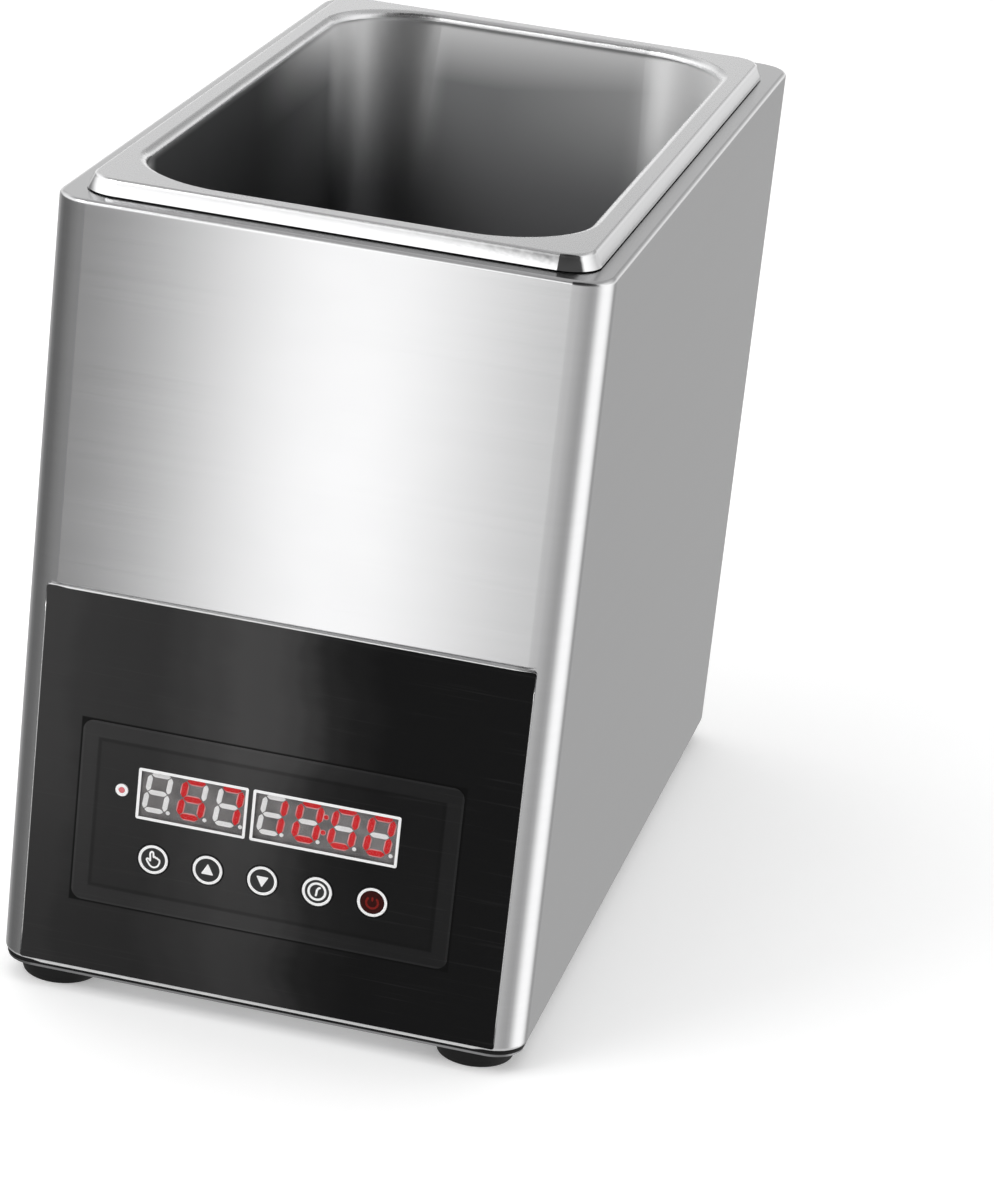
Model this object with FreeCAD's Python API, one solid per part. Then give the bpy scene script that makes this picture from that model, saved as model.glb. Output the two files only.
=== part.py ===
"""Commercial egg boiler: a counter-top steel casing with a lift-out gastronorm pan over a heated plate.

Millimetres. X is the width, the control panel faces -Y, +Z is up. The origin is on the counter,
at the centre of the footprint's bounding box.
"""
import FreeCAD, Part
import math
import os

Vec = FreeCAD.Vector

# ---- driving dimensions -------------------------------------------------------------------------
# casing
case_width = 190.0
case_depth = 352.0
case_height = 277.0
corner_radius = 12.5
bend_radius = 1.6
edge_radius = 0.9
sheet = 1.0
flange_width = 14.0
flange_relief = 24.0

# feet, base plate and the gasket above it
foot_height = 6.8
foot_top_radius = 15.5
foot_bottom_radius = 13.3
foot_inset_x = 19.0
foot_inset_y = 18.0
foot_web = 2.6
foot_well_gap = 0.6
base_sheet = 1.0
base_gap = 1.2
base_inset = 1.2
base_screw_spread = 0.45
gasket_growth = 0.3

# gastronorm 1/3 pan, 150 deep
rim_width = 176.0
rim_depth = 325.0
rim_corner_radius = 12.5
rim_flare = 2.5
rim_front_margin = 7.5
rim_rise = 5.8
lip_gap = 0.5
pan_sheet = 0.7
pan_depth = 150.0
pan_flange = 11.0
pan_mouth_radius = 36.0
pan_floor_radius = 20.0
pan_draft = 8.0
pan_mouth_roll = 3.0
pan_floor_roll = 9.0
seal_reach = 4.0
seal_clearance = 0.75
seal_corner_radius = 14.5
seal_gap = 0.05

# well under the pan
well_clearance = 3.0
well_sheet = 0.8
well_flange = 5.0
well_floor_drop = 16.6
insulation = 9.0
insulation_gap = 0.3
pad_thickness = 9.6
pad_gap = 0.2
pad_inset = 3.0
shield_sheet = 0.8
shield_inset = 2.0
stud_inset_x = 18.0
stud_inset_y = 26.0
stud_end = 5.0
sensor_hole_radius = 7.0
sensor_hole_setback = 12.0
leg_hole_gap = 1.2

# heater
plate_thickness = 5.0
plate_gap = 0.2
plate_margin = 4.0
post_radius = 4.5
post_inset_x = 10.0
post_inset_y = 14.0
element_radius = 3.3
element_gap = 0.1
element_half_span = 35.0
element_bend = 12.0
element_back_y = 95.0
element_front_y = -65.0
element_tail = 24.0
collar_growth = 0.9
collar_height = 5.0
terminal_pin_radius = 1.8
terminal_pin_length = 13.0
clamp_width = 12.0
clamp_reach = 46.0
clamp_sheet = 1.2
clamp_places = (-60.0, -34.0, 60.0)
cutout_setback = -12.0
cutout_radius = 8.0
cutout_height = 7.0
probe_setback = 32.0
probe_tab = 1.2
probe_tab_length = 12.0
probe_tab_width = 8.0
probe_screw_y = 7.0
probe_barrel_radius = 2.4
probe_barrel_drop = 2.6
probe_barrel_length = 12.0
probe_barrel_lap = 2.0

# control panel, from the casing's bottom edge upwards
panel_width = 172.0
panel_height = 139.8
panel_lift = 1.6
panel_corner = 1.0
panel_sheet = 0.8
film_width = 135.4
film_height = 67.4
film_offset_x = -1.4
film_lift = 27.8
film_corner = 4.0
film_sheet = 0.3
film_edge = 0.12
film_slope = 5.6
window_sheet = 0.8

# displays, keys and the lamp on it
digit_module_height = 17.9
three_digit_width = 38.2
four_digit_width = 51.4
module_corner = 0.5
window_border = 0.6
window_corner = 1.0
window_gap = 0.1
temperature_x = -28.4
timer_x = 19.1
display_lift = 71.5
key_pitch = 19.65
key_row_x = -1.1
key_lift = 47.9
key_radius = 5.6
key_gap = 0.3
key_proud = 0.2
key_stop_gap = 0.05
key_flange_radius = 6.8
key_flange = 0.8
key_stem_radius = 1.5
key_stem_end = 5.2
key_names = ("key_set", "key_up", "key_down", "key_timer", "key_power")
lamp_x = -53.6
lamp_lift = 71.5
lamp_radius = 2.35
lamp_gap = 0.1
lamp_lens_round = 0.8
lamp_base_growth = 0.6
lamp_base_height = 1.2

# boards
board_sheet = 1.6
board_width = 124.0
board_height = 52.0
board_corner = 1.0
board_post_inset = 4.0
board_drop = 1.5
board_setback = 7.8
switch_size = 6.0
switch_height = 3.5
switch_bore = 1.8
switch_floor = 1.0
standoff_radius = 2.75
standoff_floor = 1.5
power_board_width = 110.0
power_board_depth = 84.0
power_board_y = 50.0
power_board_post_inset = 5.0
power_standoff = 8.0
power_standoff_floor = 3.0
header_width = 20.0
header_thickness = 6.0
header_height = 8.0
header_drop = 19.0
header_inset = 5.0
terminal_row_width = 60.0
terminal_row_depth = 10.0
terminal_row_height = 11.0
terminal_row_inset = 6.0
terminal_entry_lift = 5.5

# rear panel and mains inlet
rear_proud = 2.4
rear_panel_sheet = 1.0
rear_panel_corner = 3.0
rear_lap = 9.0
vent_count = 11
vent_pitch = 8.0
vent_width = 3.0
vent_length = 36.0
vent_x = -30.0
vent_lift = 63.0
inlet_x = 45.0
inlet_lift = 39.0
inlet_flange_width = 50.0
inlet_flange_height = 22.5
inlet_flange_corner = 4.0
inlet_body_width = 27.6
inlet_body_height = 20.0
inlet_body_corner = 1.5
inlet_cutout_gap = 0.2
inlet_cavity_width = 24.6
inlet_cavity_height = 17.0
inlet_cavity_depth = 17.5
inlet_cavity_corner = 2.5
inlet_floor = 3.0
inlet_pin_length = 12.0
inlet_pin_width = 2.0
inlet_pin_height = 4.0
inlet_pin_spacing = 7.0
inlet_pin_stagger = 2.0
inlet_tag = 7.0
inlet_screw_spacing = 40.0
inlet_screw_sink = 1.68
inlet_screw_reach = 5.0

# fasteners and leads
m3_radius = 1.5
m3_head_radius = 2.9
m3_head_height = 1.9
m4_radius = 2.0
m4_head_radius = 3.6
m4_head_height = 2.3
m4_nut_width = 7.0
m4_nut_height = 3.2
screw_end = 2.5
board_screw_grip = 4.0
earth_x = -56.0
earth_inset = 50.0
earth_stud_height = 14.0
earth_ring_sheet = 1.0
earth_barrel_start = 3.0
earth_barrel_end = 11.0
earth_barrel_width = 3.0
lead_radius = 1.4
probe_lead_radius = 1.0
bend_share = 0.45
ribbon_width = 16.0
ribbon_sheet = 0.9
overshoot = 1.0
search_margin = 1.0
round_end_slack = 0.01

# ---- places worked out from them ----------------------------------------------------------------
front_proud = panel_sheet + film_sheet + key_proud
case_front = front_proud - (case_depth + front_proud + rear_proud) / 2
case_back = case_front + case_depth
case_bottom = foot_height + base_sheet + base_gap
case_top = case_bottom + case_height
shell_depth = case_depth - rear_panel_sheet
shell_y = case_front + shell_depth / 2
shell_back = case_front + shell_depth
base_top = foot_height + base_sheet
film_front = case_front - panel_sheet - film_sheet

pan_y = case_front + rim_front_margin + rim_depth / 2
rim_top = case_top + rim_rise
flange_under = rim_top - pan_sheet
mouth_width = rim_width - 2 * pan_flange
mouth_depth = rim_depth - 2 * pan_flange
tub_top_width = mouth_width + 2 * pan_sheet
tub_top_depth = mouth_depth + 2 * pan_sheet
pan_under = rim_top - pan_depth

well_width = mouth_width + 2 * well_clearance
well_depth = mouth_depth + 2 * well_clearance
well_radius = pan_mouth_radius + well_clearance
well_floor_top = pan_under - well_floor_drop
well_floor_under = well_floor_top - well_sheet
pad_under = well_floor_under - pad_thickness
shield_under = pad_under - shield_sheet

plate_top = pan_under - plate_gap
plate_under = plate_top - plate_thickness
plate_width = mouth_width - 2 * pan_draft - 2 * plate_margin
plate_depth = mouth_depth - 2 * pan_draft - 2 * plate_margin
element_z = plate_under - element_radius - element_gap

key_z = case_bottom + key_lift
display_z = case_bottom + display_lift
lamp_z = case_bottom + lamp_lift
film_z = case_bottom + film_lift + film_height / 2
board_front = board_setback
board_back = board_front + board_sheet
board_z = film_z - board_drop
power_board_under = base_top + power_standoff
power_board_top = power_board_under + board_sheet
inlet_z = case_bottom + inlet_lift
inlet_back = rear_panel_sheet + inlet_cavity_depth + inlet_floor - rear_proud


# ---- shared shapes ------------------------------------------------------------------------------
def rounded_wire(width, depth, radius, z, centre=(0.0, 0.0)):
    """Closed outline of a rounded rectangle lying flat at height z, drawn anticlockwise."""
    arcs = []
    for quarter, (side_x, side_y) in enumerate(((1, -1), (1, 1), (-1, 1), (-1, -1))):
        hub = Vec(centre[0] + side_x * (width / 2 - radius), centre[1] + side_y * (depth / 2 - radius), z)
        turns = [math.radians(90 * (quarter - 1) + step) for step in (0, 45, 90)]
        arcs.append([hub + Vec(math.cos(turn), math.sin(turn), 0) * radius for turn in turns])
    edges = []
    for index, points in enumerate(arcs):
        edges.append(Part.Arc(*points).toShape())
        edges.append(Part.LineSegment(points[2], arcs[(index + 1) % 4][0]).toShape())
    return Part.Wire(edges)


def slab(width, depth, radius, z_low, z_high, centre=(0.0, 0.0)):
    """Rounded rectangle standing from z_low to z_high."""
    face = Part.Face(rounded_wire(width, depth, radius, z_low, centre))
    return face.extrude(Vec(0, 0, z_high - z_low))


def tapered_slab(low, high, z_low, z_high, centre):
    """Solid between two rounded rectangles, each given as width, depth and corner radius."""
    wires = [rounded_wire(*low, z_low, centre), rounded_wire(*high, z_high, centre)]
    return Part.makeLoft(wires, True, True)


def box(x_range, y_range, z_range):
    """Plain block between the given limits."""
    size = [limits[1] - limits[0] for limits in (x_range, y_range, z_range)]
    return Part.makeBox(*size, Vec(x_range[0], y_range[0], z_range[0]))


def upright_plate(width, height, radius, y_low, y_high, centre_x, centre_z):
    """Rounded rectangle facing along Y, from y_low to y_high."""
    plate = slab(width, height, radius, 0, y_high - y_low)
    plate.rotate(Vec(0, 0, 0), Vec(1, 0, 0), 90)
    plate.translate(Vec(centre_x, y_high, centre_z))
    return plate


def rod_y(radius, x, z, y_low, y_high):
    """Cylinder along Y."""
    return Part.makeCylinder(radius, y_high - y_low, Vec(x, y_low, z), Vec(0, 1, 0))


def rod_z(radius, x, y, z_low, z_high):
    """Cylinder along Z."""
    return Part.makeCylinder(radius, z_high - z_low, Vec(x, y, z_low))


def hexagon(across_flats, thickness):
    """Hexagonal prism standing on the origin."""
    reach = across_flats / math.sqrt(3)
    corners = [Vec(math.cos(turn), math.sin(turn), 0) * reach for turn in
               [math.radians(60 * step) for step in range(7)]]
    return Part.Face(Part.makePolygon(corners)).extrude(Vec(0, 0, thickness))


def nut(across_flats, bore_radius, thickness):
    """Hexagonal nut standing on the origin."""
    return hexagon(across_flats, thickness).cut(rod_z(bore_radius, 0, 0, -overshoot, thickness + overshoot))


def placed(shape, at, direction=Vec(0, 0, 1)):
    """Copy of a shape with its own +Z turned to a direction and its origin moved to a place."""
    copy = shape.copy()
    copy.Placement = FreeCAD.Placement(Vec(*at), FreeCAD.Rotation(Vec(0, 0, 1), Vec(*direction)))
    return copy


def pan_screw(shank_radius, head_radius, head_height, length):
    """Pan-head screw: shank down from the origin, rounded head with a cross recess above it."""
    shank = rod_z(shank_radius, 0, 0, -length, 0)
    head = rod_z(head_radius, 0, 0, 0, head_height)
    crown = head_height * 0.45
    head = head.makeFillet(crown, [head.Edges[0]])
    recess_width = head_radius * 0.28
    recess_reach = head_radius * 0.6
    recess_floor = head_height * 0.35
    depth = (recess_floor, head_height + overshoot)
    for across, along in ((recess_width, recess_reach * 2), (recess_reach * 2, recess_width)):
        head = head.cut(box((-across / 2, across / 2), (-along / 2, along / 2), depth))
    return head.fuse(shank).removeSplitter()


def m3_screw(length):
    """Pan-head M3 screw."""
    return pan_screw(m3_radius, m3_head_radius, m3_head_height, length)


def m4_screw(length):
    """Pan-head M4 screw."""
    return pan_screw(m4_radius, m4_head_radius, m4_head_height, length)


def group(shapes):
    """Several separate solids kept as one node."""
    return Part.makeCompound(shapes)


def ring_edges(shape, z, tolerance=0.01):
    """Edges lying flat at height z."""
    return [edge for edge in shape.Edges
            if abs(edge.BoundBox.ZMin - z) < tolerance and abs(edge.BoundBox.ZMax - z) < tolerance]


def inner_edges(shape, z, width, depth, centre):
    """Flat edges at height z that lie within a rectangle."""
    kept = []
    for edge in ring_edges(shape, z):
        bounds = edge.BoundBox
        across = max(abs(bounds.XMin - centre[0]), abs(bounds.XMax - centre[0])) <= width / 2
        along = max(abs(bounds.YMin - centre[1]), abs(bounds.YMax - centre[1])) <= depth / 2
        if across and along:
            kept.append(edge)
    return kept


def lead_path(points):
    """Straight runs joined by tangent arcs, each as large as its two runs allow."""
    places = [Vec(*point) for point in points]
    edges = []
    start = places[0]
    for before, corner, after in zip(places, places[1:], places[2:]):
        arriving = (corner - before).normalize()
        leaving = (after - corner).normalize()
        half_turn = arriving.getAngle(leaving) / 2
        shorter = min(before.distanceToPoint(corner), corner.distanceToPoint(after))
        setback = shorter * bend_share
        radius = setback / math.tan(half_turn)
        entry = corner - arriving * setback
        leave = corner + leaving * setback
        to_hub = (leaving - arriving).normalize()
        middle = corner + to_hub * (radius / math.cos(half_turn) - radius)
        edges.append(Part.LineSegment(start, entry).toShape())
        edges.append(Part.Arc(entry, middle, leave).toShape())
        start = leave
        print("   lead bend radius", round(radius, 1))
    edges.append(Part.LineSegment(start, places[-1]).toShape())
    return Part.Wire(edges)


def lead(points, radius=lead_radius):
    """Round insulated lead along a route."""
    path = lead_path(points)
    first = Vec(*points[0])
    heading = Vec(*points[1]) - first
    profile = Part.Wire(Part.makeCircle(radius, first, heading))
    tube = path.makePipeShell([profile], True, False)
    expected = math.pi * radius ** 2 * path.Length
    print("   lead volume against section times length", round(tube.Volume / expected, 3))
    return tube


def save(name, shape):
    """One STEP file per node."""
    shape.exportStep(os.path.join("parts", name + ".step"))
    print(name, len(shape.Solids), "solid(s)", round(shape.Volume / 1000, 2), "cm3", shape.isValid())


# ---- casing -------------------------------------------------------------------------------------
def casing_block(z_low, z_high):
    """Part of the casing's outer form between two heights; it is rounded all along its top and bottom."""
    block = slab(case_width, shell_depth, corner_radius, case_bottom, case_top, (0, shell_y))
    block = block.makeFillet(bend_radius, ring_edges(block, case_bottom) + ring_edges(block, case_top))
    layer = box((-case_width, case_width), (-case_depth, case_depth), (z_low, z_high))
    return block.common(layer)


def cabinet_shell():
    """Folded wrap: front, sides, rear returns and the inward flange along the bottom."""
    centre = (0, shell_y)
    outer = casing_block(case_bottom, case_top - sheet)
    inside = slab(case_width - 2 * sheet, shell_depth - 2 * sheet, corner_radius - sheet,
                  case_bottom + sheet, case_top, centre)
    window = box((-rear_window_half(), rear_window_half()), (shell_back - 2 * sheet, shell_back + overshoot),
                 (rear_window_low(), rear_window_high()))
    shell = outer.cut(inside).cut(floor_opening()).cut(window)
    for hole in front_openings(case_front - overshoot, case_front + 2 * sheet):
        shell = shell.cut(hole)
    for x, z in rear_screw_places():
        shell = shell.cut(rod_y(m3_radius, x, z, shell_back - 2 * sheet, case_back))
    for x, y in base_screw_places():
        shell = shell.cut(rod_z(m3_radius, x, y, case_bottom - overshoot, case_bottom + 2 * sheet))
    return shell


def floor_opening():
    """Opening between the bottom flanges, with each fold relieved at the rounded corners."""
    z_range = (case_bottom - overshoot, case_bottom + 2 * sheet)
    half_x = case_width / 2 - flange_width
    half_y = shell_depth / 2 - flange_width
    opening = box((-half_x, half_x), (shell_y - half_y, shell_y + half_y), z_range)
    inside = slab(case_width - 2 * sheet, shell_depth - 2 * sheet, corner_radius - sheet, *z_range,
                  (0, shell_y))
    relief_x = (case_width / 2 - flange_relief, case_width / 2)
    relief_y = (shell_depth / 2 - flange_relief, shell_depth / 2)
    for hand in (-1, 1):
        for end in (-1, 1):
            corner = box(sorted(hand * reach for reach in relief_x),
                         sorted(shell_y + end * reach for reach in relief_y), z_range)
            opening = opening.fuse(inside.common(corner))
    return opening


def rear_window_half():
    """Half the width of the opening behind the rear panel."""
    return case_width / 2 - corner_radius - rear_lap - sheet


def rear_window_low():
    """Bottom of the opening behind the rear panel."""
    return case_bottom + flange_width


def rear_window_high():
    """Top of the opening behind the rear panel."""
    return case_top - flange_width


def rear_screw_places():
    """Screws down both returns, and one in the middle of the top and the bottom."""
    side = rear_window_half() + rear_lap / 2
    low = rear_window_low() - rear_lap / 2
    high = rear_window_high() + rear_lap / 2
    places = [(hand * side, z) for hand in (-1, 1) for z in (low, (low + high) / 2, high)]
    return places + [(0, low), (0, high)]


def base_screw_places():
    """Screws through the base plate into the shell's bottom flange."""
    side = case_width / 2 - flange_width / 2 - sheet
    reach = shell_depth / 2 - flange_width / 2 - sheet
    quarter = reach * base_screw_spread
    places = [(hand * side, shell_y + end * quarter) for hand in (-1, 1) for end in (-1, 1)]
    return places + [(0, shell_y + end * reach) for end in (-1, 1)]


def foot_places():
    """Centres of the four feet."""
    half_x = case_width / 2 - foot_inset_x
    half_y = case_depth / 2 - foot_inset_y
    return [(hand * half_x, shell_y + end * half_y) for hand in (-1, 1) for end in (-1, 1)]


def top_deck():
    """Flat deck welded on the shell's top edge, cut out for the well."""
    deck = casing_block(case_top - sheet, case_top)
    return deck.cut(slab(well_width, well_depth, well_radius, case_top - 2 * sheet, case_top + overshoot,
                         (0, pan_y)))


def rim_seal():
    """Silicone ring between the deck and the pan's flange; it keeps spilt water out of the well."""
    outer = slab(well_width + 2 * seal_reach, well_depth + 2 * seal_reach, seal_corner_radius, case_top,
                 flange_under - seal_gap, (0, pan_y))
    return outer.cut(slab(well_width + 2 * seal_clearance, well_depth + 2 * seal_clearance, well_radius,
                          case_top - overshoot, rim_top, (0, pan_y)))


def base_gasket():
    """Foam strip between the base plate and the shell's bottom flange."""
    width = case_width - 2 * base_inset + 2 * gasket_growth
    depth = shell_depth - 2 * base_inset + 2 * gasket_growth
    strip = slab(width, depth, corner_radius - base_inset, base_top, case_bottom, (0, shell_y))
    hole = slab(case_width - 2 * flange_width, shell_depth - 2 * flange_width, corner_radius / 2,
                foot_height, case_top, (0, shell_y))
    strip = strip.cut(hole)
    for x, y in base_screw_places():
        strip = strip.cut(rod_z(m3_radius, x, y, foot_height, case_top))
    return strip


def base_plate():
    """Flat plate that closes the casing from below and carries the feet and the power board."""
    plate = slab(case_width - 2 * base_inset, shell_depth - 2 * base_inset, corner_radius - base_inset,
                 foot_height, base_top, (0, shell_y))
    for x, y in base_screw_places():
        plate = plate.cut(rod_z(m3_radius, x, y, 0, case_bottom))
    for x, y in foot_places():
        plate = plate.cut(rod_z(m4_radius, x, y, 0, case_bottom))
    for x, y in power_board_posts():
        plate = plate.cut(rod_z(m3_radius, x, y, 0, case_bottom))
    plate = plate.cut(rod_z(m4_radius, *earth_place(), 0, case_bottom))
    return plate


def rubber_feet():
    """Four tapered feet, each with a well for its screw head."""
    feet = []
    for x, y in foot_places():
        foot = Part.makeCone(foot_bottom_radius, foot_top_radius, foot_height, Vec(x, y, 0))
        foot = foot.makeFillet(edge_radius, ring_edges(foot, 0))
        screw_well = rod_z(m4_head_radius + foot_well_gap, x, y, -overshoot, foot_height - foot_web)
        feet.append(foot.cut(screw_well).cut(rod_z(m4_radius, x, y, 0, foot_height + overshoot)))
    return group(feet)


def foot_screws():
    """One screw up through each foot into the base plate's threaded hole."""
    screw = m4_screw(foot_web + base_sheet + screw_end)
    return group([placed(screw, (x, y, foot_height - foot_web), (0, 0, -1)) for x, y in foot_places()])


def base_screws():
    """Screws that hold the base plate up against the shell."""
    screw = m3_screw(base_sheet + base_gap + sheet + screw_end)
    return group([placed(screw, (x, y, foot_height), (0, 0, -1)) for x, y in base_screw_places()])


def vent_slots(y_low, y_high):
    """Row of upright slots with round ends."""
    slots = []
    for index in range(vent_count):
        x = vent_x + (index - (vent_count - 1) / 2) * vent_pitch
        slots.append(upright_plate(vent_width, vent_length, vent_width / 2 - round_end_slack, y_low, y_high,
                                   x, case_bottom + vent_lift))
    return slots


def rear_panel():
    """Removable rear cover with cooling slots and the cut-out for the mains inlet."""
    width = 2 * (rear_window_half() + rear_lap)
    low = rear_window_low() - rear_lap
    high = rear_window_high() + rear_lap
    panel = upright_plate(width, high - low, rear_panel_corner, shell_back, case_back, 0, (low + high) / 2)
    for x, z in rear_screw_places():
        panel = panel.cut(rod_y(m3_radius, x, z, shell_back - overshoot, case_back + overshoot))
    for slot in vent_slots(shell_back - overshoot, case_back + overshoot):
        panel = panel.cut(slot)
    cutout = upright_plate(inlet_body_width + 2 * inlet_cutout_gap, inlet_body_height + 2 * inlet_cutout_gap,
                           inlet_body_corner, shell_back - overshoot, case_back + overshoot, inlet_x, inlet_z)
    panel = panel.cut(cutout)
    for hand in (-1, 1):
        x = inlet_x + hand * inlet_screw_spacing / 2
        panel = panel.cut(rod_y(m3_radius, x, inlet_z, shell_back - overshoot, case_back + overshoot))
    return panel


def rear_screws():
    """Screws that hold the rear panel to the shell's returns."""
    screw = m3_screw(rear_panel_sheet + sheet + screw_end)
    return group([placed(screw, (x, case_back, z), (0, 1, 0)) for x, z in rear_screw_places()])


# ---- lift-out pan -------------------------------------------------------------------------------
def gn_pan():
    """Drawn gastronorm 1/3 pan: tapered tub, flat rolled flange and flared lip."""
    centre = (0, pan_y)
    top_width = rim_width - 2 * rim_flare
    top_depth = rim_depth - 2 * rim_flare
    top_radius = rim_corner_radius - rim_flare
    lip_bottom = case_top + lip_gap
    rim = tapered_slab((rim_width, rim_depth, rim_corner_radius), (top_width, top_depth, top_radius),
                       lip_bottom, rim_top, centre)
    rim = rim.makeFillet(pan_sheet * 2, ring_edges(rim, rim_top))
    lip_inside = (rim_width - 2 * pan_sheet, rim_depth - 2 * pan_sheet, rim_corner_radius - pan_sheet)
    top_inside = (top_width - 2 * pan_sheet, top_depth - 2 * pan_sheet, top_radius - pan_sheet)
    undercut = tapered_slab(lip_inside, top_inside, lip_bottom, flange_under, centre)
    undercut = undercut.makeFillet(pan_sheet, ring_edges(undercut, flange_under))
    rim = rim.cut(undercut)
    top = (tub_top_width, tub_top_depth, pan_mouth_radius + pan_sheet)
    bottom = (tub_top_width - 2 * pan_draft, tub_top_depth - 2 * pan_draft, pan_floor_radius + pan_sheet)
    tub = tapered_slab(bottom, top, pan_under, flange_under, centre)
    tub = tub.makeFillet(pan_floor_roll + pan_sheet, ring_edges(tub, pan_under))
    body = rim.fuse(tub).removeSplitter()
    root = inner_edges(body, flange_under, tub_top_width + search_margin, tub_top_depth + search_margin,
                       centre)
    body = body.makeFillet(pan_mouth_roll - pan_sheet, root)
    mouth = (mouth_width, mouth_depth, pan_mouth_radius)
    floor = (mouth_width - 2 * pan_draft, mouth_depth - 2 * pan_draft, pan_floor_radius)
    hollow = tapered_slab(floor, mouth, pan_under + pan_sheet, rim_top, centre)
    hollow = hollow.makeFillet(pan_floor_roll, ring_edges(hollow, pan_under + pan_sheet))
    body = body.cut(hollow)
    mouth_edges = inner_edges(body, rim_top, mouth_width + search_margin, mouth_depth + search_margin, centre)
    return body.makeFillet(pan_mouth_roll, mouth_edges)


# ---- well and heater ----------------------------------------------------------------------------
def well_liner():
    """Dry well around the pan: straight walls, flange spot-welded under the deck, floor with holes."""
    centre = (0, pan_y)
    under_deck = case_top - sheet
    outer_size = (well_width + 2 * well_sheet, well_depth + 2 * well_sheet, well_radius + well_sheet)
    liner = slab(*outer_size, well_floor_under, under_deck, centre)
    flange = slab(outer_size[0] + 2 * well_flange, outer_size[1] + 2 * well_flange, well_radius,
                  under_deck - well_sheet, under_deck, centre)
    hollow = slab(well_width, well_depth, well_radius, well_floor_top, case_top, centre)
    liner = liner.fuse(flange).removeSplitter().cut(hollow)
    return cut_service_holes(liner, well_floor_under, well_floor_top)


def cut_service_holes(shape, z_low, z_high):
    """Holes for the element's legs, the leads and the shield's studs."""
    for x in (-element_half_span, element_half_span):
        leg_hole = rod_z(element_radius + leg_hole_gap, x, element_back_y + element_bend,
                         z_low - overshoot, z_high + overshoot)
        shape = shape.cut(leg_hole)
    return shape.cut(rod_z(sensor_hole_radius, 0, sensor_hole_y(), z_low - overshoot, z_high + overshoot))


def sensor_hole_y():
    """Where the sensor leads leave the well."""
    return pan_y + sensor_hole_setback


def insulation_wrap():
    """Mineral-wool blanket around the well."""
    growth = 2 * (well_sheet + insulation_gap)
    inner = (well_width + growth, well_depth + growth, well_radius + insulation_gap)
    outer = (inner[0] + 2 * insulation, inner[1] + 2 * insulation, well_radius + insulation)
    z_low = well_floor_under
    z_high = case_top - sheet - well_sheet - insulation_gap
    wrap = slab(*outer, z_low, z_high, (0, pan_y))
    return wrap.cut(slab(*inner, z_low - overshoot, z_high + overshoot, (0, pan_y)))


def bottom_insulation():
    """Mineral-wool pad under the well."""
    pad = slab(well_width - 2 * pad_inset, well_depth - 2 * pad_inset, well_radius - pad_inset,
               pad_under + pad_gap, well_floor_under - pad_gap, (0, pan_y))
    pad = cut_service_holes(pad, pad_under, well_floor_under)
    for x, y in stud_places():
        pad = pad.cut(rod_z(m4_radius + insulation_gap, x, y, pad_under, well_floor_under))
    return pad


def heat_shield():
    """Steel sheet that holds the pad up and shields the boards."""
    shield = slab(well_width - 2 * shield_inset, well_depth - 2 * shield_inset, well_radius - shield_inset,
                  shield_under, pad_under, (0, pan_y))
    shield = cut_service_holes(shield, shield_under, pad_under)
    for x, y in stud_places():
        shield = shield.cut(rod_z(m4_radius, x, y, shield_under - overshoot, pad_under + overshoot))
    return shield


def stud_places():
    """Studs under the well for the heat shield."""
    half_x = well_width / 2 - stud_inset_x
    half_y = well_depth / 2 - stud_inset_y
    return [(hand * half_x, pan_y + end * half_y) for hand in (-1, 1) for end in (-1, 1)]


def shield_studs():
    """Studs welded under the well's floor."""
    return group([rod_z(m4_radius, x, y, shield_under - stud_end, well_floor_under)
                  for x, y in stud_places()])


def m4_nuts():
    """Four nuts that clamp the heat shield, and one over the earth lead's ring."""
    shape = nut(m4_nut_width, m4_radius, m4_nut_height)
    places = [(x, y, shield_under - m4_nut_height) for x, y in stud_places()]
    places.append((*earth_place(), base_top + earth_ring_sheet))
    return group([placed(shape, place) for place in places])


def heater_plate():
    """Aluminium plate just under the pan's floor."""
    return slab(plate_width, plate_depth, pan_floor_radius - plate_margin, plate_under, plate_top, (0, pan_y))


def plate_posts():
    """Posts that carry the heater plate above the well's floor."""
    half_x = plate_width / 2 - post_inset_x
    half_y = plate_depth / 2 - post_inset_y
    return group([rod_z(post_radius, hand * half_x, pan_y + end * half_y, well_floor_top, plate_under)
                  for hand in (-1, 1) for end in (-1, 1)])


def heater_element():
    """Tubular element: flat hairpin under the plate, with two legs turned down through the floor."""
    span = element_half_span
    leg_y = element_back_y + element_bend
    foot_z = element_z - element_tail
    edges = []
    lower_bend = element_z - element_bend
    bend_mid = element_bend * math.sqrt(0.5)
    arc_y = element_back_y + bend_mid
    arc_z = lower_bend + bend_mid
    edges.append(Part.LineSegment(Vec(-span, leg_y, foot_z), Vec(-span, leg_y, lower_bend)).toShape())
    edges.append(Part.Arc(Vec(-span, leg_y, lower_bend), Vec(-span, arc_y, arc_z),
                          Vec(-span, element_back_y, element_z)).toShape())
    edges.append(Part.LineSegment(Vec(-span, element_back_y, element_z),
                                  Vec(-span, element_front_y, element_z)).toShape())
    edges.append(Part.Arc(Vec(-span, element_front_y, element_z), Vec(0, element_front_y - span, element_z),
                          Vec(span, element_front_y, element_z)).toShape())
    edges.append(Part.LineSegment(Vec(span, element_front_y, element_z),
                                  Vec(span, element_back_y, element_z)).toShape())
    edges.append(Part.Arc(Vec(span, element_back_y, element_z), Vec(span, arc_y, arc_z),
                          Vec(span, leg_y, lower_bend)).toShape())
    edges.append(Part.LineSegment(Vec(span, leg_y, lower_bend), Vec(span, leg_y, foot_z)).toShape())
    profile = Part.Wire(Part.makeCircle(element_radius, Vec(-span, leg_y, foot_z), Vec(0, 0, 1)))
    return Part.Wire(edges).makePipeShell([profile], True, False)


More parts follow.
